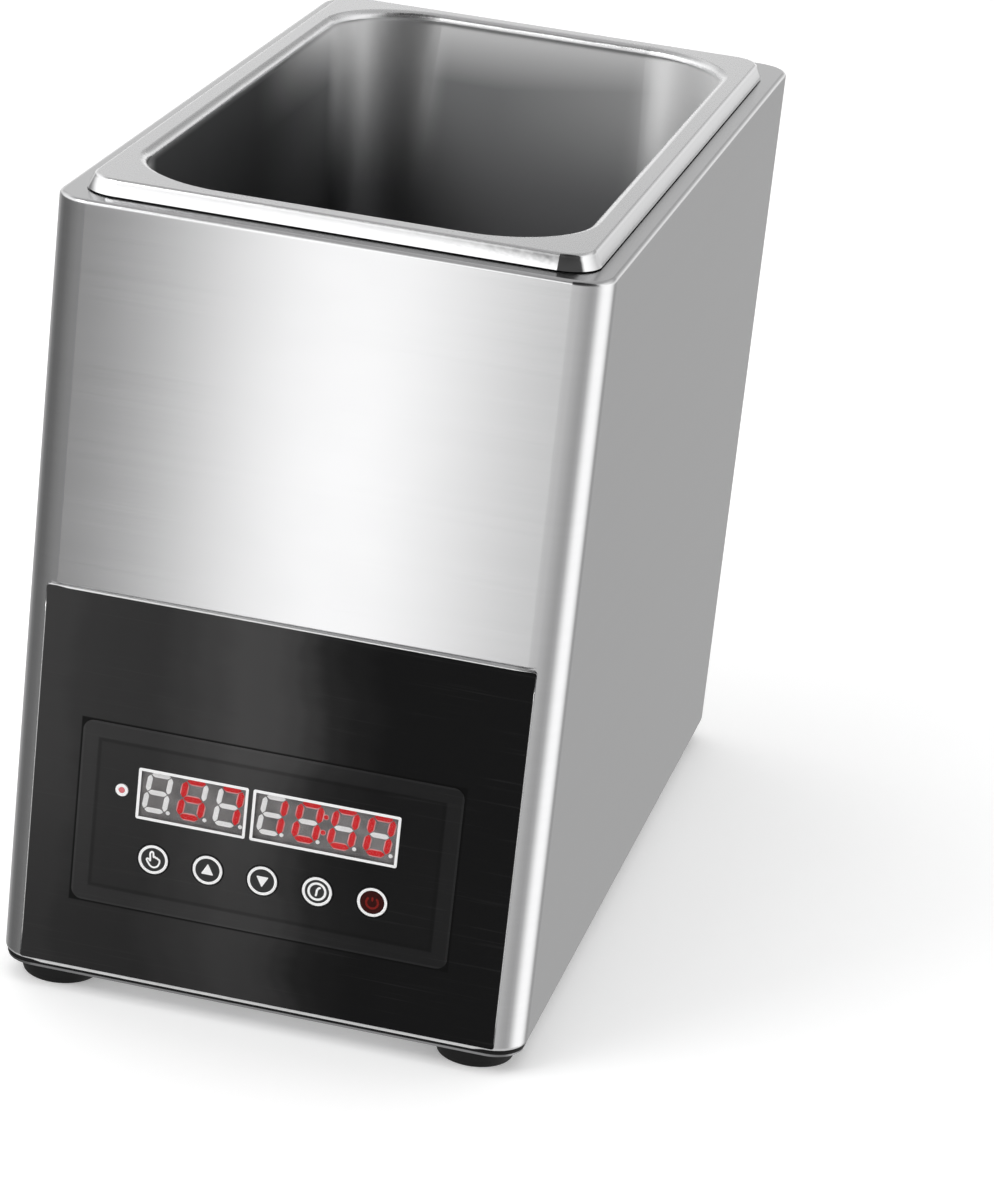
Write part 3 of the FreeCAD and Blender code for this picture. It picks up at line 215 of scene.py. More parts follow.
def drawnMetal(name, look):
    # pressed sheet: satin flange; a polished outer lip, picked out by its distance outside the flange's
    # round-cornered rectangle, crowned by a parabola of its height and greyer along its sides by painted shade;
    # a rougher tub painted darker as shade, whose drawing marks run round it, so that its highlights stretch up
    # and down. Down the tub's corners runs a painted highlight, told by the distance from both sides; painted
    # light brightens its far end toward the rim and the right, painted shade darkens its left wall and the
    # lower part of the pan; slow marks of handling all over
    material, tree, shader, place = startFinish(name)
    fine = speckle(tree, place, look["grain"], 3.0, 0.6)
    marks = speckle(tree, place, look["marks"], 4.0, 0.6, 2.1)
    x, y, z = split(tree, place)
    alongX = beyond(tree, x, 0.0, look["lipHalf"][0])
    alongY = beyond(tree, y, look["lipY"], look["lipHalf"][1])
    cornerX, cornerY = (sums(tree, "ADD", value, look["lipCorner"]) for value in (alongX, alongY))
    reach = [sums(tree, "POWER", sums(tree, "MAXIMUM", value, 0.0), 2.0) for value in (cornerX, cornerY)]
    within = sums(tree, "MINIMUM", sums(tree, "MAXIMUM", cornerX, cornerY), 0.0)
    away = sums(tree, "ADD", sums(tree, "SQRT", sums(tree, "ADD", *reach)), within)
    outside = spread(tree, sums(tree, "SUBTRACT", away, look["lipCorner"]), 0.0, 1.0, -look["lipSoft"], look["lipSoft"])
    inside = times(tree, falling(tree, z, *look["tubFade"]), sums(tree, "SUBTRACT", 1.0, outside))

    satin = swing(tree, fine, look["roughShift"],
                  spread(tree, marks, look["roughness"], look["roughness"] + look["markShift"], *wideSpan))
    rough = blendValue(tree, outside, satin, swing(tree, fine, look["polishShift"], look["polish"]))
    rough = blendValue(tree, inside, rough, spread(tree, marks, *look["tubRoughness"], *wideSpan))

    tone = blendColour(tree, spread(tree, marks, 0.0, 1.0, *wideSpan), *shades(look))
    # painted shade: greyer along the lip's sides
    lipSideShadeMask = rising(tree, sums(tree, "SUBTRACT", alongX, alongY), *look["sideFade"])
    far = rising(tree, y, *look["farWall"])
    # painted shade along the tub's left wall
    leftShadeMask = times(tree, falling(tree, x, *look["leftWall"]), sums(tree, "SUBTRACT", 1.0, far))
    # painted light at the far wall, toward the rim and the right
    rightLightMask = times(tree, spread(tree, x, 0.0, look["rightShare"], *look["rightWall"]),
                      rising(tree, z, *look["rightFade"]))
    lit = sums(tree, "MAXIMUM", spread(tree, z, 0.0, 1.0, *look["rimFade"]), rightLightMask)
    # painted highlight down the tub's corners
    bend = times(tree, *(rising(tree, value, *look["bendFrom"]) for value in (alongX, alongY)))
    # layers of painted shade (lip sides, tub, lower part, left wall) and painted light (far wall, corners)
    for share, layer in (
            (times(tree, lipSideShadeMask, outside), "lipSideShade"),
            (inside, "tubShade"),
            (falling(tree, z, *look["deepFade"]), "deepShade"),
            (times(tree, leftShadeMask, inside), "leftWallShade"),
            (times(tree, lit, far, inside), "farWallLight"),
            (times(tree, bend, inside, rising(tree, z, *look["bendFade"])), "cornerHighlight")):
        tone = blendColour(tree, share, tone, colour(look[layer]))

    crown = sums(tree, "DIVIDE", sums(tree, "SUBTRACT", z, look["crownAt"]), mm)
    crown = times(tree, crown, crown, -look["crown"])
    wave = speckle(tree, place, look["wave"], 2.0, 0.5, 8.3)
    bent = relief(tree, times(tree, sums(tree, "MULTIPLY_ADD", wave, look["waveShare"], crown), outside), mm)
    upright = addNode(tree, "ShaderNodeCombineXYZ", {0: sums(tree, "SUBTRACT", 1.0, inside), 1: 0.0, 2: inside})
    dress(tree, shader, tone=tone, rough=rough, normal=relief(tree, fine, look["depth"], bent), metal=1.0,
          stretch=look["stretch"], along=upright.outputs[0])
    return material


def plainMetal(name, look):
    # small parts: grainy noise moves colour and roughness, a larger one adds handling marks
    material, tree, shader, place = startFinish(name)
    grain = speckle(tree, place, look["grain"], 3.0, 0.6)
    marks = speckle(tree, place, look["marks"], 4.0, 0.6, 5.2)
    tone = blendColour(tree, spread(tree, grain, 0.0, 1.0, *noiseSpan), *shades(look))
    tone = blendColour(tree, spread(tree, marks, 0.0, look["tarnishShare"], *look["tarnishFade"]), tone,
                       colour(look["tarnish"]))
    rough = spread(tree, grain, *(look["roughness"] + shift for shift in look["roughSpan"]))
    dress(tree, shader, tone=tone, rough=rough, normal=relief(tree, grain, look["depth"]), metal=1.0)
    return material


def mouldedSurface(name, look):
    # moulded plastic, rubber, glaze or paint: fine skin noise for height, slow noise for colour and gloss
    material, tree, shader, place = startFinish(name)
    skin = speckle(tree, place, look["skin"], 2.0, 0.6)
    slow = speckle(tree, place, look["slow"], 3.0, 0.55, 4.4)
    tone = blendColour(tree, spread(tree, slow, 0.0, 1.0, *noiseSpan), colour(look["colour"]), colour(look["second"]))
    slowRough = spread(tree, slow, *(look["roughness"] + shift for shift in look["roughSpan"]), *noiseSpan)
    dress(tree, shader, tone=tone, rough=swing(tree, skin, look["roughShift"], slowRough),
          normal=relief(tree, skin, look["depth"]), gloss=look["gloss"], glow=look["glow"],
          glowColour=colour(look["glowColour"]))
    return material


def coatedSheet(name, look):
    # black coating: long faint scratches along X where drawn-out noise peaks; a painted sheen, a lighter coat whose
    # strength follows stops along X, thinner towards the foot and wandering with slow noise; bare metal on the cut
    # edges, told from the front by the normal; lines along a rectangle, told by the distance from it, lay
    # painted shadow and painted highlights
    material, tree, shader, place = startFinish(name)
    scratch = speckle(tree, place, look["scratch"], 3.0, 0.7)
    hair = spread(tree, scratch, 0.0, 1.0, *look["hairFade"])
    dustAndSheen = speckle(tree, place, look["dustScale"], 4.0, 0.6, 7.9)
    skin = speckle(tree, place, look["skin"], 2.0, 0.5, 0.4)
    x, _, z = split(tree, place)
    reach = look["sheenReach"]
    stops = [((where / reach + 1) / 2, value) for where, value in look["paintedSheen"]]
    along = spread(tree, swing(tree, dustAndSheen, look["patch"], x), 0.0, 1.0, -reach * mm, reach * mm)
    # painted sheen: a lighter coat in a gradient along X, thinner towards the foot
    paintedSheen = times(tree, follow(tree, along, stops, "EASE"),
                 spread(tree, z, look["footShare"], 1.0, *look["footFade"], "SMOOTHSTEP"))
    coat = blendColour(tree, paintedSheen, colour(look["colour"]), colour(look["dustAndSheen"]))
    coat = blendColour(tree, times(tree, hair, look["hairShare"]), coat, colour(look["hair"]))
    away = sums(tree, "MAXIMUM", *(beyond(tree, value, middle, half)
                                   for value, middle, half in zip((x, z), look["middle"], look["half"])))
    for low, high, soft, tint, kind in look["lines"]:
        band = times(tree, spread(tree, away, 0.0, 1.0, low - soft, low),
                     spread(tree, away, 1.0, 0.0, high, high + soft))
        coat = blendColour(tree, band, coat, colour(tint), kind)
    facing = split(tree, addNode(tree, "ShaderNodeNewGeometry").outputs["Normal"])[1]
    edge = spread(tree, sums(tree, "ABSOLUTE", facing), look["edgeShare"], 0.0, *look["edgeFade"])
    rough = spread(tree, dustAndSheen, look["roughness"], look["roughness"] + look["dustShift"], *look["dustFade"])
    dress(tree, shader, tone=blendColour(tree, edge, coat, colour(look["edgeColour"])), metal=edge,
          rough=sums(tree, "MULTIPLY_ADD", hair, look["hairRough"], rough), gloss=look["gloss"],
          normal=relief(tree, sums(tree, "MULTIPLY_ADD", hair, look["hairDepth"], skin), look["depth"]))
    return material


def clearPane(name, look):
    # thin clear pane: mostly see-through, with a faint tint and a gloss broken by slow smudges
    material, tree, shader, place = startFinish(name)
    smudge = speckle(tree, place, look["smudge"], 4.0, 0.6)
    rough = spread(tree, smudge, look["roughness"], look["roughness"] + look["smudgeShift"], *look["smudgeFade"])
    dress(tree, shader, tone=blendColour(tree, smudge, *shades(look)), rough=rough, cover=look["cover"])
    return material


def circuitBoard(name, look):
    # lacquered board: square-cornered cells give the tracks, small cells the tinned pads
    material, tree, shader, place = startFinish(name)
    where = addNode(tree, "ShaderNodeMapping", {"Vector": place, "Scale": look["tracks"]}).outputs[0]
    cells = addNode(tree, "ShaderNodeTexVoronoi", {"Vector": where, "Scale": 1.0, "Randomness": 0.8},
                    distance="CHEBYCHEV", feature="F1")
    step = addNode(tree, "ShaderNodeSeparateColor", {0: cells.outputs["Color"]})
    copper = sums(tree, "GREATER_THAN", step.outputs[0], look["bare"])
    pads = sums(tree, "LESS_THAN", cells.outputs["Distance"], look["padReach"])
    lacquer = blendColour(tree, copper, colour(look["colour"]), colour(look["track"]))
    fine = speckle(tree, place, look["grain"], 2.0)
    height = sums(tree, "MULTIPLY_ADD", copper, look["trackHeight"], times(tree, pads, look["padHeight"]))
    dress(tree, shader, tone=blendColour(tree, pads, lacquer, colour(look["pad"])),
          rough=spread(tree, fine, *look["roughness"]), normal=relief(tree, height, look["depth"]))
    return material


def woolBlanket(name, look):
    # mineral wool: fibres from two noises drawn out along different axes, deep and soft
    material, tree, shader, place = startFinish(name)
    first = speckle(tree, place, look["fibres"], 4.0, 0.7)
    second = speckle(tree, place, look["fibres"][::-1], 4.0, 0.7, 2.2)
    fibre = times(tree, sums(tree, "ADD", first, second), 0.5)
    clump = speckle(tree, place, look["clumps"], 3.0, 0.6, 6.1)
    tone = blendColour(tree, spread(tree, fibre, 0.0, 1.0, *look["fibreFade"]), *shades(look))
    tone = blendColour(tree, spread(tree, clump, 0.0, look["clumpShare"], *look["clumpFade"]), tone,
                       colour(look["second"]))
    dress(tree, shader, tone=tone, rough=spread(tree, fibre, *look["roughness"]),
          normal=relief(tree, sums(tree, "MULTIPLY_ADD", clump, look["clumpHeight"], fibre), look["depth"]))
    return material


def stripedSurface(name, look):
    # ribs side by side: a sine of the place along one axis gives height and the dark lines between ribs
    material, tree, shader, place = startFinish(name)
    phase = times(tree, split(tree, place)[look["axis"]], 2 * math.pi / look["pitch"])
    wave = spread(tree, sums(tree, "SINE", phase), 0.0, 1.0, -1.0, 1.0)
    fine = speckle(tree, place, look["grain"], 3.0, 0.6)
    groove = spread(tree, wave, 1.0, 0.0, 0.0, look["groove"])
    tone = blendColour(tree, groove, colour(look["colour"]), colour(look["line"]))
    dress(tree, shader, tone=blendColour(tree, times(tree, fine, look["grainShare"]), tone, colour(look["line"])),
          rough=spread(tree, fine, *(look["roughness"] + shift for shift in look["roughSpan"])),
          normal=relief(tree, sums(tree, "POWER", wave, look["ribPower"]), look["depth"]), metal=look["metal"])
    return material


casingLook = {
    "colour": (0.72, 0.72, 0.725), "shades": (0.98, 1.02), "roughness": 0.165, "roughShift": 0.028,
    "grain": (3, 3, 1500), "coarse": 0.22, "coarseShare": 0.4, "smudge": (9, 9, 14), "smudgeShift": 0.015,
    "smudgeFade": (0.42, 0.72), "depth": 0.0000012, "stretch": 0.84, "across": (0.0, 0.02, 1.0),
}
deckLook = dict(casingLook, colour=(0.60, 0.60, 0.605), grain=(3, 1500, 3), across=(0.0, 1.0, 0.02))
baseLook = dict(casingLook, colour=(0.30, 0.30, 0.305), roughness=0.3, stretch=0.3)
innerSteelLook = dict(casingLook, colour=(0.62, 0.62, 0.62), roughness=0.34, stretch=0.4)
panLook = {  # pairs in metres say where a fade starts and ends
    "colour": (0.74, 0.74, 0.745), "shades": (0.97, 1.02), "grain": (900, 900, 900), "marks": (7, 7, 11),
    "roughness": 0.26, "roughShift": 0.03, "markShift": 0.03, "depth": 0.0000006, "stretch": 0.70,
    "lipHalf": (0.0855, 0.1600), "lipY": -0.00655, "lipCorner": 0.0100, "lipSoft": 0.0006, "polish": 0.08,
    "polishShift": 0.04, "crownAt": 0.2885, "crown": 0.020, "wave": (140, 140, 320), "waveShare": 0.03,
    # painted shade: lip sides, tub, lower part, left wall; painted light: far wall and corners
    "lipSideShade": (0.47, 0.47, 0.475), "sideFade": (0.002, 0.012),
    "tubShade": (0.36, 0.365, 0.37), "tubFade": (0.2868, 0.2900), "tubRoughness": (0.47, 0.53),
    "deepShade": (0.20, 0.20, 0.205), "deepFade": (0.200, 0.270),
    "leftWallShade": (0.062, 0.064, 0.066), "leftWall": (-0.062, -0.050), "farWall": (0.0, 0.118),
    "farWallLight": (1.0, 1.0, 1.0), "rimFade": (0.266, 0.2875), "rightShare": 0.46, "rightWall": (-0.015, 0.060),
    "rightFade": (0.225, 0.275),
    "cornerHighlight": (1.0, 1.0, 1.0), "bendFrom": (-0.050, -0.034), "bendFade": (0.215, 0.288),
}
zincLook = {"colour": (0.62, 0.63, 0.65), "shades": (0.86, 1.08), "grain": (1200, 1200, 1200), "marks": (60, 60, 60),
            "tarnish": (0.45, 0.44, 0.38), "tarnishShare": 0.35, "tarnishFade": (0.5, 0.8), "roughness": 0.34,
            "roughSpan": (-0.06, 0.08), "depth": 0.000008}
brassLook = dict(zincLook, colour=(0.78, 0.58, 0.28), tarnish=(0.42, 0.28, 0.12))
tinnedLook = dict(zincLook, colour=(0.74, 0.73, 0.68), roughness=0.28)
canLook = dict(zincLook, colour=(0.72, 0.73, 0.74), roughness=0.24)
castLook = dict(zincLook, colour=(0.52, 0.53, 0.54), tarnish=(0.34, 0.34, 0.34), grain=(700, 700, 700),
                roughness=0.52, depth=0.00006)
sheathLook = dict(zincLook, colour=(0.30, 0.27, 0.24), tarnish=(0.16, 0.13, 0.11), roughness=0.42)
plasticLook = {"colour": (0.020, 0.020, 0.021), "second": (0.030, 0.030, 0.031), "skin": (1800, 1800, 1800),
               "slow": (45, 45, 45), "roughness": 0.42, "roughShift": 0.12, "roughSpan": (-0.04, 0.05),
               "depth": 0.000010, "gloss": 0.5, "glow": 0.0, "glowColour": (0.0, 0.0, 0.0)}
rubberLook = dict(plasticLook, colour=(0.006, 0.006, 0.006), second=(0.013, 0.013, 0.013), roughness=0.62,
                  skin=(900, 900, 900), depth=0.00003, gloss=0.2)
sealLook = dict(rubberLook, colour=(0.008, 0.008, 0.008), second=(0.014, 0.014, 0.014), roughness=0.5)
keyLook = dict(plasticLook, colour=(0.014, 0.014, 0.015), second=(0.020, 0.020, 0.021), roughness=0.40,
               depth=0.000004)
sheetSheen = (  # millimetres across the sheet and how much painted sheen there is
    (-86, 0.71), (-77, 0.68), (-69, 0.53), (-57, 0.48), (-45, 0.46), (-35, 0.61), (-26, 0.77), (-14, 1.0),
    (-4, 0.96), (4, 0.79), (9, 0.55), (17, 0.20), (26, 0.08), (37, 0.0), (86, 0.0))
panelLook = {
    "colour": (0.0035, 0.0035, 0.0038), "dustAndSheen": (0.063, 0.062, 0.062), "hair": (0.06, 0.06, 0.06),
    "scratch": (14, 14, 900), "hairFade": (0.60, 0.72), "hairShare": 0.16, "hairRough": -0.08, "hairDepth": -0.5,
    "dustScale": (10, 10, 22), "dustShift": 0.10, "dustFade": (0.3, 0.75), "patch": 0.03, "skin": (2600, 2600, 2600),
    "paintedSheen": sheetSheen, "sheenReach": 90, "footShare": 0.62, "footFade": (0.015, 0.115), "roughness": 0.40,
    "depth": 0.000006, "gloss": 0.13, "edgeShare": 1.0, "edgeFade": (0.3, 0.75), "edgeColour": (0.66, 0.66, 0.67),
    "middle": (-0.0014, 0.0705), "half": (0.0677, 0.0337),
    # each line: from and to in metres outside the rectangle, softness, tint, how it is laid on
    # the panel's line is a painted shadow along the film's edge
    "lines": ((-0.0010, 0.0005, 0.0004, (0.15, 0.15, 0.15), "MULTIPLY"),),
}
filmLook = dict(panelLook, colour=(0.0050, 0.0050, 0.0053), dustAndSheen=(0.059, 0.058, 0.058), roughness=0.34, gloss=0.15,
                edgeShare=0.0,
                # painted sheen on the sloping border, painted highlight at the outer edge, a darker line inside
                lines=((-0.0054, 0.0010, 0.0007, (0.0060, 0.0060, 0.0061), "ADD"),
                       (-0.0006, 0.0010, 0.0003, (0.0070, 0.0070, 0.0071), "ADD"),
                       (-0.0068, -0.0062, 0.0006, (0.70, 0.70, 0.70), "MULTIPLY")))
paneLook = {"colour": (0.20, 0.20, 0.20), "shades": (0.9, 1.1), "cover": 0.05, "roughness": 0.10,
            "smudge": (90, 90, 90), "smudgeShift": 0.15, "smudgeFade": (0.4, 0.75)}
boardLook = {"colour": (0.012, 0.085, 0.030), "track": (0.025, 0.16, 0.055), "pad": (0.62, 0.60, 0.55),
             "tracks": (260, 260, 260), "bare": 0.52, "padReach": 0.12, "grain": (1500, 1500, 1500),
             "roughness": (0.24, 0.36), "trackHeight": 0.5, "padHeight": 0.8, "depth": 0.00004}
woolLook = {"colour": (0.52, 0.47, 0.36), "shades": (0.6, 1.0), "second": (0.38, 0.33, 0.24),
            "fibres": (260, 1900, 1900), "fibreFade": (0.35, 0.65), "clumps": (70, 70, 70), "clumpShare": 0.4,
            "clumpFade": (0.4, 0.7), "clumpHeight": 2.0, "roughness": (0.85, 0.98), "depth": 0.0012}
ribbonLook = {"colour": (0.46, 0.46, 0.47), "line": (0.22, 0.22, 0.23), "axis": 0, "pitch": 0.00127,
              "groove": 0.25, "ribPower": 0.4, "grain": (900, 900, 900), "grainShare": 0.25, "roughness": 0.45,
              "roughSpan": (-0.05, 0.08), "depth": 0.0003, "metal": 0.0}
coreLook = dict(ribbonLook, colour=(0.20, 0.19, 0.18), line=(0.07, 0.06, 0.06), axis=1, pitch=0.0007,
                roughness=0.5, depth=0.00008, metal=0.6)


def skinOf(first, second, **changes):
    return dict(plasticLook, colour=first, second=second, **changes)


finishes = {
    "casing_steel": (brushedMetal, casingLook),
    "pan_steel": (drawnMetal, panLook),
    "liner_steel": (brushedMetal, innerSteelLook),
    "zinc_steel": (plainMetal, zincLook),
    "black_panel": (coatedSheet, panelLook),
    "black_film": (coatedSheet, filmLook),
    "clear_window": (clearPane, paneLook),
    "display_grey": (mouldedSurface, skinOf((0.115, 0.110, 0.110), (0.250, 0.235, 0.235), slow=(110, 110, 110),
                                            roughness=0.5)),
    "lamp_lens": (mouldedSurface, skinOf((0.70, 0.68, 0.68), (0.78, 0.76, 0.76), roughness=0.3)),
    "key_plastic": (mouldedSurface, keyLook),
    "black_rubber": (mouldedSurface, rubberLook),
    "seal_silicone": (mouldedSurface, sealLook),
    "board_green": (circuitBoard, boardLook),
    "brass": (plainMetal, brassLook),
    "can_aluminium": (plainMetal, canLook),
    "cast_aluminium": (plainMetal, castLook),
    "ceramic_white": (mouldedSurface, skinOf((0.70, 0.67, 0.61), (0.62, 0.58, 0.52), roughness=0.25)),
    "component_black": (mouldedSurface, plasticLook),
    "component_blue": (mouldedSurface, skinOf((0.02, 0.09, 0.34), (0.03, 0.12, 0.40), roughness=0.35)),
    "element_steel": (plainMetal, sheathLook),
    "fuse_glass": (clearPane, dict(paneLook, colour=(0.75, 0.80, 0.80), cover=0.35)),
    "inlet_plastic": (mouldedSurface, plasticLook),
    "lead_brown": (mouldedSurface, skinOf((0.095, 0.035, 0.014), (0.13, 0.05, 0.02), roughness=0.38)),
    "lead_green": (mouldedSurface, skinOf((0.05, 0.26, 0.04), (0.42, 0.40, 0.02), roughness=0.38)),
    "lead_white": (mouldedSurface, skinOf((0.62, 0.61, 0.58), (0.54, 0.52, 0.48), roughness=0.5)),
    "mineral_wool": (woolBlanket, woolLook),
    "ribbon_grey": (stripedSurface, ribbonLook),
    "terminal_green": (mouldedSurface, skinOf((0.02, 0.22, 0.06), (0.03, 0.28, 0.08), roughness=0.4)),
    "tinned_brass": (plainMetal, tinnedLook),
    "transformer_core": (stripedSurface, coreLook),
    "deck": (brushedMetal, deckLook),
    "base": (brushedMetal, baseLook),
}
ownFinish = {"top_deck": "deck", "base_plate": "base"}  # nodes whose finish differs from that of their slot

madeFinishes = {name: family(name + "_finish", look) for name, (family, look) in finishes.items()}
for name, piece in nodes.items():
    kind = ownFinish.get(name, piece.data.materials[0].name.split(".")[0])
    for place in piece.material_slots:
        place.material = madeFinishes[kind]
print("finishes on", len(nodes), "nodes")


# y of the faces that carry marks, in metres
frontPlanes = {"film": -0.17765, "keys": -0.17785, "modules": -0.17675, "panel": -0.17735, "casing": -0.17655}
sunk = 0.02  # millimetres that a mark reaches under its face


def gridQuads(rows, columns, loopRows=False):
    # corner numbers of every cell of a grid, joined round across its columns and, if asked, along its rows
    steps = np.meshgrid(np.arange(rows if loopRows else rows - 1), np.arange(columns), indexing="ij")
    r, c = (part.ravel() for part in steps)
    rNext, cNext = (r + 1) % rows, (c + 1) % columns
    return np.stack([r * columns + c, rNext * columns + c, rNext * columns + cNext, r * columns + cNext], axis=1)


def addMesh(name, points, faces, material, closed=False):
    # points that coincide become one; a closed mesh has its faces turned outward and shaded smooth
    mesh = bpy.data.meshes.new(name)
    mesh.from_pydata(points.tolist(), [], faces.tolist())
    work = bmesh.new()
    work.from_mesh(mesh)
    bmesh.ops.remove_doubles(work, verts=work.verts, dist=1e-6)
    if closed:
        bmesh.ops.recalc_face_normals(work, faces=work.faces)
        for face in work.faces:
            face.smooth = True
    work.to_mesh(mesh)
    work.free()
    mesh.materials.append(material)
    made = bpy.data.objects.new(name, mesh)
    bpy.context.scene.collection.objects.link(made)
    return made


def makePiece(name, stacks, material, body, loopRows=False):
    # every stack is rows x columns x 3 and closed across its columns
    points, faces, count = [], [], 0
    for grid in stacks:
        rows, columns = grid.shape[:2]
        points.append(grid.reshape(-1, 3))
        faces.append(gridQuads(rows, columns, loopRows) + count)
        count += rows * columns
    piece = addMesh(name, np.concatenate(points), np.concatenate(faces), material, closed=True)
    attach(piece, body)


def toFront(flat, plane, height):
    # millimetres across and up on the front become metres in the part's frame
    flat = np.asarray(flat, float)
    depth = np.broadcast_to(np.asarray(height, float), flat.shape[:-1])
    return np.stack([flat[..., 0] * mm, plane - depth * mm, flat[..., 1] * mm], axis=-1)


def crownedProfile(height, sink):
    # a closed outline: across it runs from 1 to -1 and back; up it is a superellipse of the height above the
    # surface and half an ellipse of the sink under it
    angle = np.linspace(0, 2 * np.pi, 12, endpoint=False)
    across = np.sign(np.cos(angle)) * np.abs(np.cos(angle)) ** 0.45
    up = np.where(np.sin(angle) > 0, np.abs(np.sin(angle)) ** 0.6 * height, np.sin(angle) * sink)
    return across, up


def inkLine(path, width, height, plane, loop=True, ends="round"):
    # the crowned profile carried along the path; on an open path the width closes at both ends in a half
    # circle or a point
    path = np.asarray(path, float)
    if loop:
        tangent = np.roll(path, -1, axis=0) - np.roll(path, 1, axis=0)
    else:
        tangent = np.gradient(path, axis=0)
    tangent /= np.linalg.norm(tangent, axis=1, keepdims=True)
    side = np.stack([tangent[:, 1], -tangent[:, 0]], axis=1)
    across, up = crownedProfile(height, sunk)
    share = np.ones(len(path))
    if not loop:
        steps = np.linalg.norm(np.diff(path, axis=0), axis=1)
        run = np.concatenate([[0], np.cumsum(steps)])
        near = np.clip(np.minimum(run, run[-1] - run) / (width / 2), 0, 1)
        share = near if ends == "point" else np.sqrt(np.clip(1 - (1 - near) ** 2, 0, 1))
    flat = path[:, None, :] + side[:, None, :] * (across[None, :] * width / 2 * share[:, None])[..., None]
    return toFront(flat, plane, up[None, :] * np.maximum(share, 1e-3)[:, None])


def inkPatch(outline, height, plane):
    # a filled patch: the outline drawn in towards its middle, crowned on top and flat behind
    outline = np.asarray(outline, float)
    middle = outline.mean(axis=0)
    inward = np.array([0.0, 0.35, 0.65, 0.85, 0.96, 1.0, 0.96, 0.6, 0.0])
    above = np.array([1.0, 0.99, 0.96, 0.88, 0.6, 0.0, 0.0, 0.0, 0.0])
    under = np.array([0.0, 0.0, 0.0, 0.0, 0.0, 0.3, 1.0, 1.0, 1.0])
    flat = middle + (outline - middle)[None, :, :] * inward[:, None, None]
    return toFront(flat, plane, (height * above - sunk * under)[:, None])


def circlePath(x, z, radius, count, start=0.0, end=360.0):
    # points at equal angles on a circle or on part of one
    whole = end - start >= 360.0
    angle = np.radians(np.linspace(start, end, count, endpoint=not whole))
    return np.stack([x + radius * np.cos(angle), z + radius * np.sin(angle)], axis=1)


def roundedPath(left, right, bottom, top, radius):
    # a rectangle whose corners are quarter circles, walked round once
    centres = np.array([(right - radius, top - radius), (left + radius, top - radius),
                        (left + radius, bottom + radius), (right - radius, bottom + radius)])
    angle = np.radians(np.linspace(0, 90, 7)[None, :] + np.arange(4)[:, None] * 90)
    arcs = centres[:, None, :] + radius * np.stack([np.cos(angle), np.sin(angle)], axis=-1)
    return arcs.reshape(-1, 2)


def curvePath(knots, count, loop=False):
    # a smooth curve through the knots: cubic pieces whose slopes join the neighbouring knots
    knots = np.asarray(knots, float)
    if loop:
        before, after, last = np.roll(knots, 1, 0), np.roll(knots, -1, 0), np.roll(knots, -2, 0)
        here = knots
    else:
        long = np.concatenate([2 * knots[:1] - knots[1:2], knots, 2 * knots[-1:] - knots[-2:-1]])
        before, here, after, last = long[:-3], long[1:-2], long[2:-1], long[3:]
    t = np.linspace(0, 1, count, endpoint=False)[None, :, None]
    before, here, after, last = (part[:, None, :] for part in (before, here, after, last))
    curve = 0.5 * (2 * here + (after - before) * t + (2 * before - 5 * here + 4 * after - last) * t ** 2
                   + (3 * here - before - 3 * after + last) * t ** 3)
    curve = curve.reshape(-1, 2)
    return curve if loop else np.concatenate([curve, knots[-1:]])


# white print with a faint glow, a painted light
whiteInkWithGlow = mouldedSurface("white_ink_painted_glow", skinOf((0.99, 0.99, 0.99), (0.96, 0.96, 0.96), roughness=0.45, depth=0.000004,
                                              glow=0.06, glowColour=(1.0, 1.0, 1.0)))
redSegment = mouldedSurface("lit_segment", skinOf((0.36, 0.006, 0.008), (0.46, 0.010, 0.012), roughness=0.4, gloss=0.15,
                                                  glow=0.27, glowColour=(1.0, 0.012, 0.020)))
redHalo = mouldedSurface("lit_edge", skinOf((0.62, 0.22, 0.23), (0.74, 0.40, 0.40), slow=(260, 260, 260),
                                            roughness=0.5, glow=0.10, glowColour=(1.0, 0.20, 0.18)))
# white unlit segments with a faint glow, a painted light
unlitSegmentWithGlow = mouldedSurface("unlit_segment_painted_glow", skinOf((0.99, 0.98, 0.98), (0.88, 0.87, 0.87), slow=(200, 200, 200),
                                                     roughness=0.5, glow=0.06, glowColour=(1.0, 1.0, 1.0)))
lampCore = mouldedSurface("lamp_core", skinOf((0.62, 0.13, 0.15), (0.70, 0.20, 0.22), roughness=0.35,
                                              glow=0.10, glowColour=(1.0, 0.25, 0.25)))
redDisc = mouldedSurface("power_disc", skinOf((0.032, 0.004, 0.003), (0.046, 0.006, 0.005), roughness=0.5, gloss=0.1))
redMark = mouldedSurface("power_mark", skinOf((0.18, 0.010, 0.008), (0.24, 0.014, 0.010), roughness=0.4, gloss=0.1))
edgeTrim = plainMetal("panel_edge_metal", dict(zincLook, colour=(0.72, 0.72, 0.72), roughness=0.2))
# a white painted highlight for thin strips along edges
paintedGlint = mouldedSurface("panel_top_glint", skinOf((0.93, 0.93, 0.93), (0.80, 0.80, 0.80), slow=(16, 16, 16)))
# a grey painted shade for the strip just above the panel
paintedTopShade = mouldedSurface("panel_top_painted_shade", skinOf((0.30, 0.30, 0.305), (0.42, 0.42, 0.42), slow=(16, 16, 16),
                                                  roughness=0.35))

windowFrames = {"lineWidth": 1.05, "height": 0.06, "corner": 0.25,
                "windows": ((-48.08, -8.72, 71.02, 90.02), (-7.08, 45.38, 71.02, 90.02))}
half = windowFrames["lineWidth"] / 2
outlines = [roundedPath(left + half, right - half, low + half, top - half, windowFrames["corner"])
            for left, right, low, top in windowFrames["windows"]]
makePiece("window_frames",
          [inkLine(path, windowFrames["lineWidth"], windowFrames["height"], frontPlanes["film"]) for path in outlines],
          whiteInkWithGlow, "cabinet", loopRows=True)

